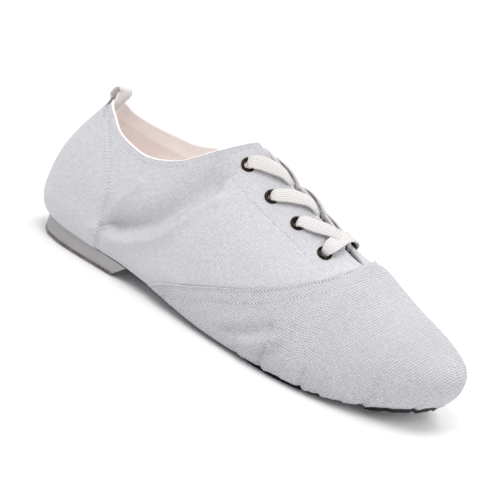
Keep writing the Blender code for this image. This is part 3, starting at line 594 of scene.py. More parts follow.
def relief(side, level, point):
    # how far the cloth stands off the last at a place, in metres
    x = (point.x + last["heelToOrigin"]) / mm
    z = point.z / mm
    total = 0.0
    if level > 1:
        for crease in creases:
            if crease["side"] not in (0, side):
                continue
            left, right, low, high = crease["box"]
            if left < x < right and low < z < high:
                away = distanceToPath(crease["path"], x, z)
                away /= crease.get("above", crease["width"]) if away > 0 else crease["width"]
                total += crease["depth"] * math.exp(-away * away)
    total += gatherDepth(point, level)
    if level < 0.5 and underSeam["from"] < x < underSeam["to"]:
        off = (point.y / mm) / underSeam["width"]
        total += underSeam["depth"] * math.exp(-off * off)
    soft = smoothStep(level - 0.6)
    total += clothNoise["wide"] * noise.noise(point * clothNoise["wideScale"] * 1.0) * soft
    total += clothNoise["fine"] * noise.noise(point * clothNoise["fineScale"]) * soft
    return total * mm


def skinPoint(side, row, level, lift):
    point = lastPoint(side, row, level)
    return point + outward(side, row, level) * (lift + relief(side, level, point))


# Flat pattern of the cloth: how far a place lies along the shoe, down the slope of the instep,
# and how far from the bottom or the crown, measured over the last, so that the weave keeps its
# scale.
cut = {"rows": 4, "levels": 30, "slope": 30.0}


def measureGirths():
    table = {}
    for side in (-1, 1):
        table[side] = []
        for r in range(lastRow * cut["rows"] + 1):
            points = [lastPoint(side, r / cut["rows"], 3 * l / cut["levels"]) for l in range(cut["levels"] + 1)]
            girths = [0.0]
            for here, there in zip(points, points[1:]):
                girths.append(girths[-1] + (there - here).length)
            table[side].append(girths)
    return table


girthTable = measureGirths()


def pattern(side, row, level, fromCrown):
    point = lastPoint(side, row, level)
    slope = math.radians(cut["slope"])
    along = point.x * math.cos(slope) - point.z * math.sin(slope)
    r = min(max(row, 0.0), lastRow - 1e-6) * cut["rows"]
    l = min(max(level, 0.0), 3 - 1e-6) * cut["levels"] / 3
    i, j = int(r), int(l)
    here, there = girthTable[side][i], girthTable[side][i + 1]
    up = ((here[j] * (1 - l + j) + here[j + 1] * (l - j)) * (1 - r + i)
          + (there[j] * (1 - l + j) + there[j + 1] * (l - j)) * (r - i))
    if fromCrown:
        crown = here[-1] * (1 - r + i) + there[-1] * (r - i)
        return along, side * (crown - up)
    return along, side * up


def gridSkin(mesh, columnsCount, linesCount, place):
    # place gives a position and a pattern point for each column and line of a grid
    layer = mesh.loops.layers.uv.verify()
    made = bmesh.ops.create_grid(mesh, x_segments=columnsCount, y_segments=linesCount, size=0.5)["verts"]
    flat = {}
    lineOf = {}
    for vert in made:
        i = round((vert.co.x + 0.5) * columnsCount)
        lineOf[vert] = round((vert.co.y + 0.5) * linesCount)
        vert.co, flat[vert] = place(i, lineOf[vert])
    for vert in made:
        for loop in vert.link_loops:
            loop[layer].uv = flat[vert]
    return lineOf


def faceWay(mesh, way):
    # turn every face so that it looks away from the middle of the shoe, or towards it
    mesh.normal_update()
    total = 0.0
    for face in mesh.faces:
        centre = face.calc_center_median()
        heart = Vector((min(max(centre.x, 0.0), 0.17), 0.003, 0.022))
        total += face.normal.dot(centre - heart) * face.calc_area()
    if total * way < 0:
        bmesh.ops.reverse_faces(mesh, faces=mesh.faces)


def finishPiece(name, mesh, finish, replaced=(), sharp=None):
    data = bpy.data.meshes.new(name)
    mesh.to_mesh(data)
    mesh.free()
    if data.uv_layers:
        data.uv_layers[0].name = "pattern"
    data.shade_smooth()
    if sharp:
        data.set_sharp_from_angle(angle=math.radians(sharp))
    for material in finish if isinstance(finish, list) else [finish]:
        data.materials.append(material)
    piece = bpy.data.objects.new(name, data)
    bpy.context.scene.collection.objects.link(piece)
    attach(piece, "root")
    if replaced:
        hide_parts(*replaced)
    return piece


def treeOf(mesh):
    mesh.normal_update()
    return BVHTree.FromBMesh(mesh)


def pressAlong(mesh, path, depth, width):
    # sink the cloth along a sewn line, a little unevenly
    tree = KDTree(len(path))
    for number, point in enumerate(path):
        tree.insert(point, number)
    tree.balance()
    mesh.normal_update()
    moves = []
    for vert in mesh.verts:
        place, number, distance = tree.find(vert.co)
        if distance < width * 2.5:
            pucker = 1 + 0.35 * math.sin(number * 0.9) + 0.25 * math.sin(number * 0.37)
            moves.append((vert, depth * pucker * math.exp(-(distance / width) ** 2)))
    for vert, sink in moves:
        vert.co -= vert.normal * sink


def evenPath(points, spacing):
    # the same path with points at an even spacing
    out = [points[0].copy()]
    carry = 0.0
    for here, there in zip(points, points[1:]):
        length = (there - here).length
        while carry + length >= spacing and length > 0:
            here = here + (there - here) * ((spacing - carry) / length)
            length = (there - here).length
            carry = 0.0
            out.append(here.copy())
        carry += length
    return out


# Sewing: thread over the cloth between two needle holes; each hole is a flat dark disc on the surface, painted shade
# for the hollow of the hole.
sewing = {"pitch": 1.8, "thread": 1.25, "thick": 0.34, "hole": 0.40}
fineSewing = {"pitch": 1.8, "thread": 1.1, "thick": 0.26, "hole": 0.36}
suedeSewing = {"pitch": 3.0, "thread": 1.7, "thick": 0.5, "hole": 0.62}
threadMesh, holeShadeMesh, suedeThreadMesh, suedeHoleShadeMesh = (bmesh.new() for _ in range(4))


def sew(tree, points, style, threads, holes, rise=0.0):
    # lay stitches along a path on the surface that a tree holds
    spots = []
    for point in evenPath(points, style["pitch"] * mm / 2):
        place, normal = tree.find_nearest(point)[:2]
        if place is not None:
            spots.append((place, normal))
    rowThreads, rowHoleShades = bmesh.new(), bmesh.new()
    for number in range(1, len(spots) - 1):
        place, normal = spots[number]
        along = spots[number + 1][0] - spots[number - 1][0]
        if along.length < 1e-6:
            continue
        along.normalize()
        beside = normal.cross(along).normalized()
        turn = Matrix((along, beside, normal)).transposed().to_4x4()
        if number % 2:
            size = (style["thread"] / 2 * mm, style["thick"] / 2 * mm, style["thick"] / 2 * mm)
            spot = place + normal * (rise + 0.08 * mm)
            into, around, rings = rowThreads, 8, 5
        else:
            # a flat dark disc at each needle hole: painted shade in the hole
            size = (style["hole"] / 2 * mm, style["hole"] / 2 * mm, 0.10 * mm)
            spot = place + normal * (max(rise, -0.1 * mm) + 0.02 * mm)
            into, around, rings = rowHoleShades, 7, 4
        bmesh.ops.create_uvsphere(into, u_segments=around, v_segments=rings, radius=1.0,
                                  matrix=Matrix.Translation(spot) @ turn @ Matrix.Diagonal((*size, 1)))
    for row, whole in ((rowThreads, threads), (rowHoleShades, holes)):
        data = bpy.data.meshes.new("row")
        row.to_mesh(data)
        row.free()
        whole.from_mesh(data)
        bpy.data.meshes.remove(data)


# ---------------------------------------------------------------- eyelet places
eyelets = {"first": 0.1028, "pitch": 0.0188, "pairs": 4, "edge": 0.0115, "bore": 2.4, "flange": 4.0}


def eyeletPlaces():
    stops = columns["topX"]
    places = {}
    for side in (-1, 1):
        for number in range(eyelets["pairs"]):
            row = placeAmong(stops, eyelets["first"] + number * eyelets["pitch"])
            edge = lastPoint(side, row, 3.0)
            level = 3.0
            while (lastPoint(side, row, level) - edge).length < eyelets["edge"]:
                level -= 0.002
            places[side, number] = (skinPoint(side, row, level, 0.0), outward(side, row, level), row, level)
    return places


eyeletAt = eyeletPlaces()


def cutEyeletHoles(mesh, radius):
    # take out the cloth inside the eyelets, under their flanges
    doomed = set()
    for centre, normal, row, level in eyeletAt.values():
        for face in mesh.faces:
            off = face.calc_center_median() - centre
            if off.length < 0.006 and (off - normal * off.dot(normal)).length < radius * mm:
                doomed.add(face)
    bmesh.ops.delete(mesh, geom=list(doomed), context="FACES")


# ---------------------------------------------------------------- quarters
quarter = {"columns": 320, "levels": 84, "rim": 1.15, "facing": 8.5, "roll": 8, "inside": 7, "creamTo": 63.0,
           "overlap": 6.0, "tuck": -0.7}


def buildQuarters():
    mesh = bmesh.new()
    bottomLines, turnLines = 8, 12
    sideLines = quarter["levels"] - bottomLines - turnLines
    stops = ([n / bottomLines for n in range(bottomLines)]
             + [1 + n / turnLines for n in range(turnLines)]
             + [2 + n / sideLines for n in range(sideLines + 1)])
    outerLines = len(stops) - 1
    rollLines, insideLines = quarter["roll"], quarter["inside"]
    total = outerLines + rollLines + insideLines
    half = quarter["columns"] // 2
    end = last["throatEnd"]
    frontRows = {}
    for side in (-1, 1):
        for j, level in enumerate(stops):
            row = seamRow(vampSeam, side, level, 4.0, 16.0)
            covered = quarter["overlap"] * mm / metresPerRow(side, row, level)
            frontRows[side, j] = min(row + covered, end) if level > 2.2 else row + covered
            frontRows[side, j, "seam"] = row

    def place(i, j):
        side = -1 if i < half else 1
        share = abs(i - half) / half
        line = min(j, outerLines)
        level = stops[line]
        front = frontRows[side, line]
        row = front * share
        hidden = row > frontRows[side, line, "seam"]
        lift = quarter["tuck"] * mm * smoothStep((row - frontRows[side, line, "seam"]) * 9) if hidden else 0.0
        flat = pattern(side, row, level, False)
        if j <= outerLines:
            return skinPoint(side, row, level, lift), flat
        # past the top line the cloth rolls over the edge and goes down inside
        normal = outward(side, row, 2.99)
        rise = (lastPoint(side, row, 3.0) - lastPoint(side, row, 2.97)).normalized()
        radius = quarter["rim"] * mm
        top = skinPoint(side, row, 3.0, lift)
        heart = top - normal * (last["wall"] / 2) - rise * 0.0002
        if j <= outerLines + rollLines:
            angle = math.pi * (j - outerLines) / rollLines
            bead = radius * min(1.0, 0.8 + 0.4 * math.sin(angle))
            point = heart + (normal * math.cos(angle) + rise * math.sin(angle)) * bead
            if j - outerLines <= 0:
                point = top
            return point, (flat[0], flat[1] + side * angle * radius)
        down = (j - outerLines - rollLines) / insideLines * quarter["facing"] * mm
        level = levelBelow(side, row, down)
        inner = lastPoint(side, row, level)
        depth = last["wall"] + 0.00035 * (1 if j < total else 0.2)
        point = inner - outward(side, row, level) * (depth - relief(side, level, inner))
        return point, (flat[0], flat[1] + side * (down + math.pi * radius))

    lineOf = gridSkin(mesh, quarter["columns"], total, place)
    for face in mesh.faces:
        line = min(lineOf[vert] for vert in face.verts)
        behindThroat = face.calc_center_median().x < quarter["creamTo"] * mm
        if line >= outerLines + (1 if behindThroat else rollLines):
            face.material_index = 1
    bmesh.ops.remove_doubles(mesh, verts=mesh.verts, dist=1e-5)
    faceWay(mesh, 1)
    return mesh


quarterMesh = buildQuarters()
print("quarters built:", len(quarterMesh.faces), "faces")

# ---------------------------------------------------------------- vamp
vamp = {"columns": 120, "lines": 220, "lap": 1.0, "low": 0.30, "edgeRadius": 0.6, "bead": 0.45}


def edgeCurl(distance, radius):
    # a folded edge: rises as a quarter round from the layer below
    if distance >= radius:
        return 1.0
    return math.sqrt(max(1 - (1 - distance / radius) ** 2, 0.0))


def buildVamp():
    mesh = bmesh.new()
    lines = vamp["lines"]
    fine = (0.0, 0.08, 0.22, 0.42, 0.68, 0.95, 1.4, 2.0)
    rows = {}
    for j in range(lines + 1):
        side = -1 if j <= lines // 2 else 1
        across = j / lines * 6 - 3
        level = 3 - abs(across)
        # more lines on the sides than on the flat bottom
        level = 3 - 3 * (abs(across) / 3) ** 1.12
        row = seamRow(vampSeam, side, level, 4.0, 16.0)
        row = min(row, last["throatEnd"]) if level > 2.9 else row
        rows[j] = (side, level, row, metresPerRow(side, row + 0.2, level))

    def place(i, j):
        side, level, start, perRow = rows[j]
        if i < len(fine):
            distance = fine[i] * mm
            row = start + distance / perRow
        else:
            first = start + fine[-1] * mm / perRow
            share = (i - len(fine) + 1) / (vamp["columns"] - len(fine) + 1)
            row = first + (lastRow - first) * share
            distance = 1.0
        full = vamp["low"] + (vamp["lap"] - vamp["low"]) * smoothStep((level - 1.0) / 0.45)
        lift = -0.1 + (full + 0.1) * edgeCurl(distance / mm, vamp["edgeRadius"])
        # the folded edge is a little fuller than the cloth ahead of it
        lift += vamp["bead"] * math.exp(-((distance / mm - 0.9) / 0.8) ** 2) * smoothStep(level - 0.8)
        return skinPoint(side, row, level, lift * mm), pattern(side, row, level, True)

    gridSkin(mesh, vamp["columns"], lines, place)
    bmesh.ops.remove_doubles(mesh, verts=mesh.verts, dist=1e-5)
    faceWay(mesh, 1)
    return mesh


vampMesh = buildVamp()
print("vamp built:", len(vampMesh.faces), "faces")

# ---------------------------------------------------------------- counter
counter = {"columns": 130, "lines": 74, "lap": 0.8, "low": 0.3, "edgeRadius": 0.7}


def buildCounter():
    mesh = bmesh.new()
    half = counter["columns"] // 2
    lines = counter["lines"]
    seamRows = {}
    for side in (-1, 1):
        for j in range(lines + 1):
            level = 0.35 + (2.985 - 0.35) * j / lines
            row = seamRow(counterSeam, side, level, 0.0, 8.0)
            seamRows[side, j] = (level, row, metresPerRow(side, row, level))

    def place(i, j):
        side = -1 if i < half else 1
        level, seam, perRow = seamRows[side, j]
        step = half - abs(i - half)
        fine = (0.0, 0.12, 0.35, 0.7, 1.2)
        if step < len(fine):
            row = seam - fine[step] * mm / perRow
            distance = fine[step]
        else:
            start = seam - fine[-1] * mm / perRow
            row = start * (1 - (step - len(fine) + 1) / (half - len(fine) + 1))
            distance = 9.0
        full = counter["low"] + (counter["lap"] - counter["low"]) * smoothStep((level - 1.0) / 0.5)
        lift = full * edgeCurl(distance, counter["edgeRadius"])
        lift *= edgeCurl((3.0 - level) * 55.0, 1.2)
        return skinPoint(side, row, level, (lift - 0.05) * mm), pattern(side, row, level, False)

    gridSkin(mesh, counter["columns"], lines, place)
    bmesh.ops.remove_doubles(mesh, verts=mesh.verts, dist=1e-5)
    faceWay(mesh, 1)
    return mesh


counterMesh = buildCounter()
print("counter built")


# ---------------------------------------------------------------- sewn lines on the upper
def seamLine(seam, side, ahead, low=1.0, high=2.995, rowsHigh=16.0, step=0.02):
    # 3-D points of a line that runs a distance ahead of a seam
    edge = []
    level = low
    while level <= high:
        row = seamRow(seam, side, level, 0.0 if seam is counterSeam else 4.0, rowsHigh)
        edge.append((lastPoint(side, row, level), outward(side, row, level)))
        level += step
    out = []
    for number, (point, normal) in enumerate(edge):
        along = edge[min(number + 1, len(edge) - 1)][0] - edge[max(number - 1, 0)][0]
        beside = along.cross(normal).normalized()
        if beside.x < 0:
            beside = -beside
        out.append(point + beside * ahead * mm)
    return out


def rimLine(side, firstRow, lastRowHere, below, step=0.06):
    out = []
    row = firstRow
    while row <= lastRowHere:
        out.append(lastPoint(side, row, levelBelow(side, row, below * mm)))
        row += step
    return out


def eyestayLine(side):
    # the line that holds the eyestay's lining: from the rim to the vamp, past the eyelets
    if side < 0:
        marks = ((86, 83), (99.6, 76.6), (115.6, 70.6), (132.3, 65.3), (147, 60.6), (163, 53.5))
    else:
        marks = ((86, 83), (99.6, 76.6), (115.6, 70.6), (132.3, 65.3), (147, 60.6), (163, 53.5))
    out = []
    for number in range(41):
        place = number / 40 * (len(marks) - 1)
        x = glide([mark[0] for mark in marks], place) * mm - last["heelToOrigin"]
        z = glide([mark[1] for mark in marks], place) * mm
        out.append(Vector((x, side * 0.021, z)))
    return out


for side in (-1, 1):
    pressAlong(vampMesh, evenPath(seamLine(vampSeam, side, 1.7), 0.7 * mm), 0.38 * mm, 0.9 * mm)
    pressAlong(vampMesh, evenPath(seamLine(vampSeam, side, 7.4), 0.7 * mm), 0.36 * mm, 0.9 * mm)
    pressAlong(counterMesh, evenPath(seamLine(counterSeam, side, -1.3, rowsHigh=8.0), 0.7 * mm), 0.22 * mm, 0.8 * mm)
    pressAlong(quarterMesh, evenPath(seamLine(counterSeam, side, 1.4, rowsHigh=8.0), 0.7 * mm), 0.25 * mm, 0.8 * mm)
    pressAlong(quarterMesh, evenPath(rimLine(side, 0.0, 14.3, 2.6), 0.7 * mm), 0.25 * mm, 0.8 * mm)

vampTree, quarterTree, counterTree = treeOf(vampMesh), treeOf(quarterMesh), treeOf(counterMesh)
for side in (-1, 1):
    line = [quarterTree.find_nearest(point)[0] for point in eyestayLine(side)]
    pressAlong(quarterMesh, evenPath(line, 0.7 * mm), 0.40 * mm, 0.8 * mm)
quarterTree = treeOf(quarterMesh)

for side in (-1, 1):
    sew(vampTree, seamLine(vampSeam, side, 1.7), sewing, threadMesh, holeShadeMesh)
    sew(vampTree, seamLine(vampSeam, side, 7.4), sewing, threadMesh, holeShadeMesh)
    sew(counterTree, seamLine(counterSeam, side, -1.3, rowsHigh=8.0), sewing, threadMesh, holeShadeMesh)
    sew(quarterTree, seamLine(counterSeam, side, 1.4, rowsHigh=8.0), sewing, threadMesh, holeShadeMesh)
    sew(quarterTree, rimLine(side, 2.2, 14.3, 2.6), fineSewing, threadMesh, holeShadeMesh)
    sew(counterTree, rimLine(side, 0.2, 2.0, 2.6), fineSewing, threadMesh, holeShadeMesh)
    sew(quarterTree, eyestayLine(side), fineSewing, threadMesh, holeShadeMesh)

cutEyeletHoles(quarterMesh, 3.0)
finishPiece("quarters", quarterMesh, [quarterCanvas, facingCotton], ["upper"])
finishPiece("vamp", vampMesh, vampCanvas, ["upper"])
finishPiece("counter", counterMesh, quarterCanvas, ["upper"])
print("upper sewn")

# ---------------------------------------------------------------- lining
lining = {"columns": 130, "lines": 60}


def buildLining():
    mesh = bmesh.new()
    for side in (-1, 1):
        def place(i, j, side=side):
            row = lastRow * i / lining["columns"]
            level = 2.985 * j / lining["lines"] if row < last["throatEnd"] else 3.0 * j / lining["lines"]
            return skinPoint(side, row, level, -last["wall"]), pattern(side, row, level, False)
        gridSkin(mesh, lining["columns"], lining["lines"], place)
    bmesh.ops.remove_doubles(mesh, verts=mesh.verts, dist=2e-5)
    cutEyeletHoles(mesh, 3.0)
    faceWay(mesh, -1)
    return finishPiece("lining", mesh, liningCotton, ["upper"])


buildLining()
print("lining built")

# ---------------------------------------------------------------- tongue
tongue = {"columns": 64, "lines": 40, "seat": 2.4, "thick": 1.6, "crown": 0.55,
          "rows": ((0.425, 0.190), (0.450, 0.225), (0.500, 0.245), (0.580, 0.250), (0.660, 0.240),
                   (0.745, 0.200))}


def acrossThroat(row, reach, lift):
    # a point on a sheet under or over both eyestays; reach is the distance from the middle,
    # minus on the outer side
    side = -1 if reach < 0 else 1
    brim = abs(lastPoint(side, row, 3.0).y - middle(lastPoint(side, row, 3.0).x + last["heelToOrigin"]))
    if abs(reach) > brim:
        level = levelBelow(side, row, abs(reach) - brim)
        return lastPoint(side, row, level) + outward(side, row, level) * lift
    edge = [lastPoint(way, row, 3.0) + outward(way, row, 2.98) * lift for way in (-1, 1)]
    share = (reach / brim + 1) / 2 if brim > 1e-6 else 0.5
    point = edge[0].lerp(edge[1], share)
    lean = outward(-1, row, 2.98)
    slope = abs(lean.y) / max(lean.z, 0.2)
    point.z += tongue["crown"] * slope * brim / 2 * (1 - (2 * share - 1) ** 2)
    return point


def rowAtTop(distance):
    return placeAmong(columns["topX"], distance)


def buildTongue():
    mesh = bmesh.new()

    def place(i, j):
        share = i / tongue["columns"]
        spot = share * (len(tongue["rows"]) - 1)
        x = glide([row[0] for row in tongue["rows"]], spot) * last["length"]
        half = glide([row[1] for row in tongue["rows"]], spot) * last["ball"] * 0.92
        reach = half * (2 * j / tongue["lines"] - 1)
        # the top end is cut to a soft curve
        x += 0.004 * (abs(reach) / half) ** 2 * (1 - share) ** 6
        seat = tongue["seat"] - 1.4 * smoothStep((x / mm - 166) / 14)
        point = acrossThroat(rowAtTop(x), reach, -last["wall"] - seat * mm)
        return point, (x, reach)

    gridSkin(mesh, tongue["columns"], tongue["lines"], place)
    mesh.normal_update()
    if sum(face.normal.z for face in mesh.faces) < 0:
        bmesh.ops.reverse_faces(mesh, faces=mesh.faces)
    piece = finishPiece("tongueCloth", mesh, tongueCanvas, ["tongue"])
    solid = piece.modifiers.new("thickness", "SOLIDIFY")
    solid.thickness = tongue["thick"] * mm
    solid.offset = -1.0
    edge = piece.modifiers.new("edge", "BEVEL")
    edge.width = 0.5 * mm
    edge.segments = 2
    edge.limit_method = "ANGLE"
    return piece


buildTongue()

# ---------------------------------------------------------------- insole
insole = {"columns": 90, "lines": 24, "thick": 2.0, "width": 0.93, "length": 0.985}


def buildInsole():
    mesh = bmesh.new()

    def place(i, j):
        row = lastRow * i / insole["columns"]
        left, right = lastPoint(-1, row, 1.0), lastPoint(1, row, 1.0)
        mid = (left.y + right.y) / 2
        across = 2 * j / insole["lines"] - 1
        end = right if across > 0 else left
        x = end.x + last["heelToOrigin"]
        x = last["length"] / 2 + (x - last["length"] / 2) * insole["length"]
        y = mid + (end.y - mid) * abs(across) * insole["width"]
        lift = archOf(1 if across > 0 else -1, x) * abs(across)
        z = bottomHeight(x) + last["wall"] + insole["thick"] * mm + lift
        edge = min(1 - abs(across), 0.12) / 0.12
        z -= 0.0012 * (1 - math.sqrt(max(1 - (1 - edge) ** 2, 0.0)))
        return Vector((x - last["heelToOrigin"], y, z)), (x, y)

    gridSkin(mesh, insole["columns"], insole["lines"], place)
    mesh.normal_update()
    if sum(face.normal.z for face in mesh.faces) < 0:
        bmesh.ops.reverse_faces(mesh, faces=mesh.faces)
    edges = [edge for edge in mesh.edges if edge.is_boundary]
    skirt = bmesh.ops.extrude_edge_only(mesh, edges=edges)["geom"]
    for vert in [part for part in skirt if isinstance(part, bmesh.types.BMVert)]:
        vert.co.z -= 0.0014
    return finishPiece("insoleCloth", mesh, insoleCotton, ["insole"])


buildInsole()
print("tongue and insole built")

# ---------------------------------------------------------------- eyelets
eyeletRing = {"steps": 40, "outline": (
    (2.40, -2.9), (2.40, 0.30), (2.50, 0.70), (2.78, 0.98), (3.15, 1.05), (3.55, 0.94), (3.85, 0.66),
    (4.00, 0.38), (3.96, 0.22), (3.70, 0.14), (2.95, 0.12), (2.95, -2.0), (3.7, -2.1), (3.95, -2.35),
    (3.85, -2.75), (3.4, -3.05), (2.8, -3.1))}


def buildEyelets():
    for (side, number), (centre, normal, row, level) in eyeletAt.items():
        mesh = bmesh.new()
        ring = [mesh.verts.new((radius * mm, 0, height * mm)) for radius, height in eyeletRing["outline"]]
        edges = [mesh.edges.new((ring[n - 1], ring[n])) for n in range(len(ring))]
        bmesh.ops.spin(mesh, geom=ring + edges, cent=(0, 0, 0), axis=(0, 0, 1), angle=math.tau,
                       steps=eyeletRing["steps"], use_merge=True)
        bmesh.ops.remove_doubles(mesh, verts=mesh.verts, dist=1e-6)
        bmesh.ops.recalc_face_normals(mesh, faces=mesh.faces)
        turn = normal.to_track_quat("Z", "X").to_matrix().to_4x4()
        bmesh.ops.transform(mesh, matrix=Matrix.Translation(centre) @ turn, verts=mesh.verts)
        node = "eyelet_{}_{}".format("outer" if side < 0 else "inner", number + 1)
        finishPiece("ring_" + node, mesh, blackNickel, [node])


buildEyelets()
print("eyelets built")

# ---------------------------------------------------------------- laces
# path: share of the way to the next eyelet, distance below the eyestay's edge and height over
# the cloth, both in mm; shares: the lace's width there, as it folds and unfolds.
lace = {"width": 7.8, "thick": 1.4, "round": 28, "spacing": 0.9, "twist": 38.0, "farLift": 0.5,
        "path": ((0.10, 8.9, 1.8), (0.34, 5.4, 2.2), (0.60, 2.1, 2.5), (0.85, -0.3, 2.3), (1.06, -0.8, 1.2),
                 (1.19, -0.8, -1.2), (1.22, 1.5, -4.2)),
        "shares": (0.92, 0.98, 0.92, 0.74, 0.50, 0.40, 0.45)}


def smoothRun(stations, spacing):
    # stations: (point, width direction, width share); returns evenly fine stations
    out = []
    for number in range(len(stations) - 1):
        length = (stations[number + 1][0] - stations[number][0]).length
        steps = max(int(length / spacing), 2)
        for step in range(steps):
            out.append(number + step / steps)
    out.append(len(stations) - 1.0)
    points = [Vector((glide([s[0][n] for s in stations], place) for n in range(3))) for place in out]
    ways = [Vector((glide([s[1][n] for s in stations], place) for n in range(3))) for place in out]
    shares = [glide([s[2] for s in stations], place) for place in out]
    return points, ways, shares


def sweepRibbon(mesh, stations, width, thick, spacing, around, belly=0.0):
    # a flat woven band along a run; its long section is a rounded, slightly crowned strip
    points, ways, shares = smoothRun(stations, spacing)
    lengths = [0.0]
    for here, there in zip(points, points[1:]):
        lengths.append(lengths[-1] + (there - here).length)
    frames = []
    for number, point in enumerate(points):
        along = (points[min(number + 1, len(points) - 1)] - points[max(number - 1, 0)]).normalized()
        beside = (ways[number] - along * ways[number].dot(along)).normalized()
        frames.append((point, beside, along.cross(beside).normalized()))

    def place(i, j):
        point, beside, face = frames[i]
        angle = math.tau * j / around
        flatCos, flatSin = math.cos(angle), math.sin(angle)
        across = math.copysign(abs(flatCos) ** 0.75, flatCos)
        up = math.copysign(abs(flatSin) ** 0.55, flatSin)
        half = width / 2 * shares[i]
        fold = thick / 2 * (1 + 0.35 * (1 - shares[i]))
        crown = belly * (1 - across * across) * shares[i]
        spot = point + beside * (across * half) + face * (up * fold + crown)
        return spot, (lengths[i], across * width / 2)

    before = set(mesh.verts)
    gridSkin(mesh, len(points) - 1, around, place)
    new = [vert for vert in mesh.verts if vert not in before]
    bmesh.ops.remove_doubles(mesh, verts=new, dist=1e-6)
    ends = [edge for edge in mesh.edges if edge.is_boundary]
    if ends:
        bmesh.ops.holes_fill(mesh, edges=ends, sides=0)


def laceStrand(side, number, mesh):
    # from inside an eyelet, out, along the eyestay and over its edge just past the next eyelet
    centre, normal, row, level = eyeletAt[side, number]
    nextRow = eyeletAt[side, number + 1][2]
    spots = []
    for along, below, lift in lace["path"]:
        spot = row + (nextRow - row) * along
        high = levelBelow(side, spot, max(below, 0.0) * mm)
        lift *= 1.0 if side < 0 else lace["farLift"]
        up = outward(side, spot, min(high, 2.97))
        inward = (lastPoint(side, spot, 3.0) - lastPoint(side, spot, 2.97)).normalized()
        point = lastPoint(side, spot, high) + inward * max(-below, 0.0) * mm
        spots.append((point + up * lift * mm, up))
    stations = [
        (centre - normal * 5.0 * mm, None, 0.50),
        (centre - normal * 1.6 * mm, None, 0.55),
        (centre + normal * 1.2 * mm, None, 0.66),
    ]
    for (point, up), share in zip(spots, lace["shares"]):
        stations.append((point, up, share))
    out = []
    for index, (point, up, share) in enumerate(stations):
        before = stations[max(index - 1, 0)][0]
        after = stations[min(index + 1, len(stations) - 1)][0]
        run = (after - before).normalized()
        if up is None:
            first = (stations[4][0] - stations[3][0]).normalized()
            way = normal.cross(first).normalized()
        else:
            turn = lace["twist"] * smoothStep((index - 5) / 4) * (-1 if side < 0 else 1)
            way = (Matrix.Rotation(math.radians(turn), 3, run) @ up.cross(run)).normalized()
        out.append((point, way, share))
    sweepRibbon(mesh, out, lace["width"] * mm, lace["thick"] * mm, lace["spacing"] * mm,
                lace["round"], belly=0.25 * mm)


def laceBar(mesh):
    near, far = eyeletAt[-1, 3], eyeletAt[1, 3]
    top = (lastPoint(-1, near[2], 3.0) + lastPoint(1, near[2], 3.0)) / 2
    up = Vector((near[1].x + far[1].x, 0, near[1].z + far[1].z)).normalized()
    forward = Vector((up.z, 0, -up.x))
    run = []
    for (centre, normal, row, level), cover in ((near, 0.60), (far, 1.05)):
        side = -1 if centre.y < 0 else 1
        inward = (lastPoint(side, row, 3.0) - centre).normalized()
        run.append([
            (centre - normal * 5.0 * mm - inward * 0.5 * mm, forward, 0.55),
            (centre - normal * 1.6 * mm, forward, 0.56),
            (centre + normal * 0.9 * mm + inward * 0.3 * mm, forward, cover),
            (centre + normal * 2.7 * mm + inward * 2.9 * mm, forward, max(cover, 0.9)),
            (centre + normal * 3.0 * mm + inward * 7.0 * mm, forward, 1.0),
        ])
    stations = run[0] + [(top + up * 3.0 * mm, forward, 1.0)] + run[1][::-1]
    sweepRibbon(mesh, stations, lace["width"] * 1.02 * mm, lace["thick"] * mm, lace["spacing"] * mm,
                lace["round"], belly=0.25 * mm)


def buildLaces():
    for number in range(eyelets["pairs"] - 1):
        mesh = bmesh.new()
        for side in (1, -1):
            laceStrand(side, number, mesh)
        bmesh.ops.recalc_face_normals(mesh, faces=mesh.faces)
        finishPiece("laceCrossing{}".format(number + 1), mesh, laceCotton,
                    ["lace_cross_{}".format(number + 1)])
    mesh = bmesh.new()
    laceBar(mesh)
    bmesh.ops.recalc_face_normals(mesh, faces=mesh.faces)
    finishPiece("laceAcross", mesh, laceCotton, ["lace_bar"])


buildLaces()
print("laces built")

# ---------------------------------------------------------------- pull loop
# over: the fold above the collar as distances ahead of and over the rim, in mm.
loop = {"width": 8.0, "thick": 1.1, "downBack": 35.0, "inside": 10.0, "twist": -44.0, "cup": 0.8,
        "over": ((0.2, 2.0), (1.0, 4.4), (2.4, 6.3), (4.0, 7.0), (4.9, 5.9), (4.9, 4.2), (4.4, 2.4), (4.1, 0.8))}


def buildLoop():
    side = Vector((0, 1, 0))

    def backPoint(level, away):
        return lastPoint(1, 0.0, level) + outward(1, 0.0, min(level, 2.97)) * away * mm

    stations = []
    for step in range(7):
        level = levelBelow(1, 0.0, loop["downBack"] * mm * (1 - step / 6))
        stations.append((backPoint(level, 0.45 if step == 6 else 0.0), side, 1.0))
    rim = backPoint(3.0, 0.65)
    count = len(loop["over"])
    for number, (ahead, rise) in enumerate(loop["over"]):
        turn = math.radians(loop["twist"]) * math.sin(math.pi * (number + 1) / (count + 1)) ** 0.7
        stations.append((rim + Vector((ahead, 0, rise)) * mm, Vector((-math.sin(turn), math.cos(turn), 0)), 0.98))
    for step in range(1, 4):
        level = levelBelow(1, 0.0, loop["inside"] * mm * step / 3)
        stations.append((backPoint(level, -3.3), side, 1.0))
    mesh = bmesh.new()
    sweepRibbon(mesh, stations, loop["width"] * mm, loop["thick"] * mm, 0.8 * mm, 28, belly=loop["cup"] * mm)
    bmesh.ops.recalc_face_normals(mesh, faces=mesh.faces)
    return finishPiece("pullLoopTape", mesh, tapeCotton, ["pull_loop"])


buildLoop()
print("pull loop built")

# ---------------------------------------------------------------- heel
heel = {"front": 0.276, "overhang": 1.2, "slant": 6.0, "hollow": 3.0, "pad": 1.6, "padInset": 0.6,
        "taper": 0.5, "columns": 44, "lines": 26}


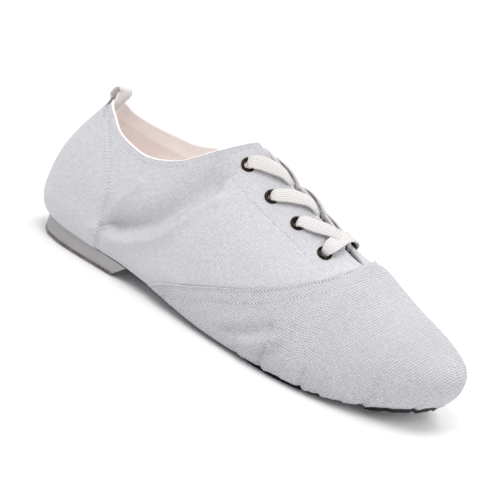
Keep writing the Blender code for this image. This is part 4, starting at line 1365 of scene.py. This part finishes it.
def heelPlan(i, j, front, inset):
    # a place in the heel's outline: round at the back, straight at the sides, hollow in front
    stops = columns["under"]
    back = stops[0] - (heel["overhang"] - inset) * mm
    share = i / heel["columns"]
    x = back + (front - back) * (1 - math.cos(share * math.pi / 2))
    row = placeAmong(stops, max(x, stops[0]))
    outerY, innerY = lastPoint(-1, row, 1.0).y, lastPoint(1, row, 1.0).y
    out = (heel["overhang"] - inset) * mm
    grow = math.sqrt(min(max((x - back) / (out + stops[0]), 0.0), 1.0))
    low, high = outerY - out * grow, innerY + out * grow
    across = j / heel["lines"]
    x -= heel["hollow"] * mm * share ** 3 * (1 - (2 * across - 1) ** 2)
    return x - last["heelToOrigin"], low + (high - low) * across


def solidFromTop(mesh, depthOf, bevel):
    # thicken a sheet downwards to a rule's height and round its edges
    top = list(mesh.faces)
    mesh.normal_update()
    if sum(face.normal.z for face in top) < 0:
        bmesh.ops.reverse_faces(mesh, faces=top)
    bmesh.ops.extrude_face_region(mesh, geom=top)
    for vert in {vert for face in top if face.is_valid for vert in face.verts}:
        depthOf(vert)
    bmesh.ops.recalc_face_normals(mesh, faces=mesh.faces)
    rims = [edge for edge in mesh.edges
            if len(edge.link_faces) == 2 and edge.calc_face_angle(0.0) > math.radians(50)]
    if bevel:
        bmesh.ops.bevel(mesh, geom=rims, offset=bevel, offset_type="OFFSET", segments=3, profile=0.5,
                        affect="EDGES", material=-1, clamp_overlap=True)


def buildHeel():
    front = heel["front"] * last["length"]
    mesh = bmesh.new()

    def place(i, j):
        x, y = heelPlan(i, j, front, 0.0)
        return Vector((x, y, bottomHeight(x + last["heelToOrigin"]) + 0.05 * mm)), (x, y)

    gridSkin(mesh, heel["columns"], heel["lines"], place)
    low = {}
    for i in range(heel["columns"] + 1):
        for j in range(heel["lines"] + 1):
            x, y = heelPlan(i, j, front, 0.0)
            low[round(x, 6), round(y, 6)] = heelPlan(i, j, front - heel["slant"] * mm, heel["taper"])
    bottom = (heel["pad"] + 0.25) * mm

    def sink(vert):
        key = round(vert.co.x, 6), round(vert.co.y, 6)
        if key in low:
            vert.co.x, vert.co.y = low[key]
        vert.co.z = bottom

    solidFromTop(mesh, sink, 0.35 * mm)
    finishPiece("heelBlock", mesh, heelRubber, ["heel_block"], sharp=40)

    mesh = bmesh.new()
    padFront = front - (heel["slant"] + heel["padInset"]) * mm

    def padPlace(i, j):
        x, y = heelPlan(i, j, padFront, heel["padInset"])
        return Vector((x, y, heel["pad"] * mm)), (x, y)

    gridSkin(mesh, heel["columns"], heel["lines"], padPlace)

    def flatten(vert):
        vert.co.z = 0.0

    solidFromTop(mesh, flatten, 0.4 * mm)
    tree = treeOf(mesh)
    finishPiece("heelPad", mesh, pigskin, ["heel_pad"], sharp=40)
    outline = []
    inset = heel["padInset"] + 3.2
    padBack = 0.5
    lines, cols = heel["lines"], heel["columns"]
    for i in range(2, cols + 1):
        x, y = heelPlan(i, 0, padFront, 0.0)
        outline.append(Vector((min(x, padFront - 0.034 - 3.4 * mm), y + inset * mm, -0.001)))
    for j in range(3, lines - 2):
        x, y = heelPlan(cols, j, padFront, 0.0)
        outline.append(Vector((x - 3.4 * mm, y, -0.001)))
    for i in range(cols, 1, -1):
        x, y = heelPlan(i, lines, padFront, 0.0)
        outline.append(Vector((min(x, padFront - 0.034 - 3.4 * mm), y - inset * mm, -0.001)))
    sew(tree, outline, suedeSewing, suedeThreadMesh, suedeHoleShadeMesh, rise=-0.32 * mm)


buildHeel()
print("heel built")

# ---------------------------------------------------------------- suede sole patches
# spread and toeSpread widen the patches so that their dark edges, dyed and painted with shade, show below the upper
patch = {"thick": 1.5, "gap": 0.3, "columns": 56, "lines": 30, "row": 3.8, "second": 6.8,
         "spread": 3.2, "toeSpread": 5.0, "reach": 0.8}


def insetOutline(outline, distance):
    # move a closed plan outline inwards
    out = []
    count = len(outline)
    heart = sum(outline, Vector((0, 0, 0))) / count
    for number, point in enumerate(outline):
        along = outline[(number + 1) % count] - outline[number - 1]
        if along.length < 1e-7:
            continue
        side = Vector((-along.y, along.x, 0)).normalized()
        if side.dot(heart - point) < 0:
            side = -side
        out.append(point + side * distance)
    return out


def heightUnder(x, y):
    # the lowest of the vamp's underside round a place, so that the patch clears its gathers
    heights = []
    for turn in range(5):
        angle = turn * math.tau / 4
        reach = patch["reach"] * mm if turn else 0.0
        start = Vector((x - last["heelToOrigin"] + reach * math.cos(angle), y + reach * math.sin(angle), -0.02))
        hit = vampTree.ray_cast(start, Vector((0, 0, 1)))[0]
        heights.append(hit.z if hit else bottomHeight(x))
    return min(heights)


def buildPatch(name, node, plan, stitchRows):
    mesh = bmesh.new()

    def place(i, j):
        x, y = plan(i / patch["columns"], j / patch["lines"])
        return Vector((x - last["heelToOrigin"], y, heightUnder(x, y) - 0.1 * mm)), (x, y)

    gridSkin(mesh, patch["columns"], patch["lines"], place)

    def sink(vert):
        vert.co.z = max(vert.co.z - (patch["gap"] + patch["thick"] - 0.1) * mm, 0.0)

    solidFromTop(mesh, sink, 0.3 * mm)
    tree = treeOf(mesh)
    # the side faces take the dark edge colour: the dyed edge together with painted shade under the shoe
    for face in mesh.faces:
        if abs(face.normal.z) < 0.75:
            face.material_index = 1
    finishPiece(name, mesh, [suede, suedeEdgeDyeAndShade], [node], sharp=40)
    edge = [plan(step / 60, 0.0) for step in range(61)]
    edge += [plan(1.0, step / 10) for step in range(1, 10)]
    edge += [plan(1 - step / 60, 1.0) for step in range(61)]
    edge += [plan(0.0, 1 - step / 10) for step in range(1, 10)]
    outline = [Vector((x - last["heelToOrigin"], y, -0.002)) for x, y in edge]
    outline = evenPath(outline + [outline[0]], 1.5 * mm)
    for distance in stitchRows:
        row = insetOutline(outline, distance * mm)
        sew(tree, row + [row[0]], suedeSewing, suedeThreadMesh, suedeHoleShadeMesh, rise=-0.32 * mm)


def ballPlan(share, across):
    place = share * (len(ballPatchRows) - 1)
    x = glide([row[0] for row in ballPatchRows], place) * last["length"]
    low = glide([row[1] for row in ballPatchRows], place) * last["ball"]
    high = glide([row[2] for row in ballPatchRows], place) * last["ball"]
    spread = patch["spread"] * mm
    return x, low - spread + (high - low + 2 * spread) * across


def toePlan(share, across):
    place = share * (len(toePatchRows) - 1)
    y = glide([row[0] for row in toePatchRows], place) * last["ball"]
    rear = glide([row[1] for row in toePatchRows], place) * last["length"]
    front = glide([row[2] for row in toePatchRows], place) * last["length"]
    front += patch["toeSpread"] * mm * math.sin(math.pi * min(max(share, 0.0), 1.0)) ** 0.5
    return rear + (front - rear) * across, y


buildPatch("ballPatch", "ball_patch", ballPlan, (patch["row"], patch["second"]))
buildPatch("toePatch", "toe_patch", toePlan, (patch["row"],))

for name, mesh, finish, slot in (("canvasStitches", threadMesh, canvasThread, "canvas"),
                                 ("canvasNeedleHoles", holeShadeMesh, canvasHoleShade, "canvas"),
                                 ("suedeStitches", suedeThreadMesh, suedeThread, "suede"),
                                 ("suedeNeedleHoles", suedeHoleShadeMesh, suedeHoleShade, "suede")):
    finishPiece(name, mesh, finish)
print("sole patches and stitches built")

# ---------------------------------------------------------------- floor, light and camera
floorLook = {"size": 6.0, "colour": "FFFFFF", "drop": 0.1}


def buildFloor():
    mesh = bmesh.new()
    bmesh.ops.create_grid(mesh, x_segments=2, y_segments=2, size=floorLook["size"] / 2)
    bmesh.ops.translate(mesh, verts=mesh.verts, vec=(0.1, 0, -floorLook["drop"] * mm))
    data = bpy.data.meshes.new("floor")
    mesh.to_mesh(data)
    mesh.free()
    made, tree, shader = newMaterial("paleFloor", floorLook["colour"], 0.35, specular=0.3)
    data.materials.append(made)
    floor = bpy.data.objects.new("floor", data)
    bpy.context.scene.collection.objects.link(floor)


buildFloor()

# The camera looks from the outer side, a little above and ahead, rolled as in the photograph.
camera = {"azimuth": 22.96, "elevation": 20.0, "roll": 20.8, "distance": 2.4, "pixelsPerMetre": 2000.0,
          "target": (0.0852, -0.0094, 0.0420), "frame": 500, "sensor": 36.0}


def setCamera():
    azimuth, elevation, roll = (math.radians(camera[name]) for name in ("azimuth", "elevation", "roll"))
    back = Vector((math.sin(azimuth) * math.cos(elevation), -math.cos(azimuth) * math.cos(elevation),
                   math.sin(elevation)))
    level = Vector((math.cos(azimuth), math.sin(azimuth), 0))
    upright = back.cross(level)
    right = level * math.cos(roll) + upright * math.sin(roll)
    up = back.cross(right)
    data = bpy.data.cameras.new("camera")
    data.sensor_width = camera["sensor"]
    data.lens = camera["pixelsPerMetre"] * camera["sensor"] * camera["distance"] / camera["frame"]
    data.clip_end = 20.0
    made = bpy.data.objects.new("camera", data)
    bpy.context.scene.collection.objects.link(made)
    place = Vector(camera["target"]) + back * camera["distance"]
    turn = Matrix((right, up, back)).transposed().to_4x4()
    made.matrix_world = Matrix.Translation(place) @ turn
    bpy.context.scene.camera = made


setCamera()

# Soft boxes: a large one over the shoe from the left and front, a weaker one from the right.
softBoxes = (
    {"name": "keyBox", "place": (-0.30, -0.62, 1.45), "size": 1.1, "power": 16.5},
    {"name": "fillBox", "place": (1.1, -0.3, 1.0), "size": 0.9, "power": 5.5},
    {"name": "backBox", "place": (0.1, 0.9, 1.2), "size": 1.0, "power": 10.5},
    {"name": "liningBox", "place": (0.035, -0.008, 0.036), "size": 0.10, "height": 0.02, "power": 0.0095,
     "aim": (0.035, 0.03, 0.046)},
)
for box in softBoxes:
    light = bpy.data.lights.new(box["name"], "AREA")
    light.shape = "RECTANGLE"
    light.size = box["size"]
    light.size_y = box.get("height", box["size"])
    light.energy = box["power"]
    made = bpy.data.objects.new(box["name"], light)
    made.location = box["place"]
    aim = Vector(box.get("aim", (0.08, 0, 0.03)))
    made.rotation_euler = (aim - Vector(box["place"])).to_track_quat("-Z", "Y").to_euler()
    made.visible_camera = False
    bpy.context.scene.collection.objects.link(made)
world = bpy.data.worlds.new("studio")
world.use_nodes = True
world.node_tree.nodes["Background"].inputs["Color"].default_value = linear("FFFFFF")
world.node_tree.nodes["Background"].inputs["Strength"].default_value = 0.44
bpy.context.scene.world = world
bpy.context.scene.view_settings.view_transform = "Standard"
print("floor, light and camera set")
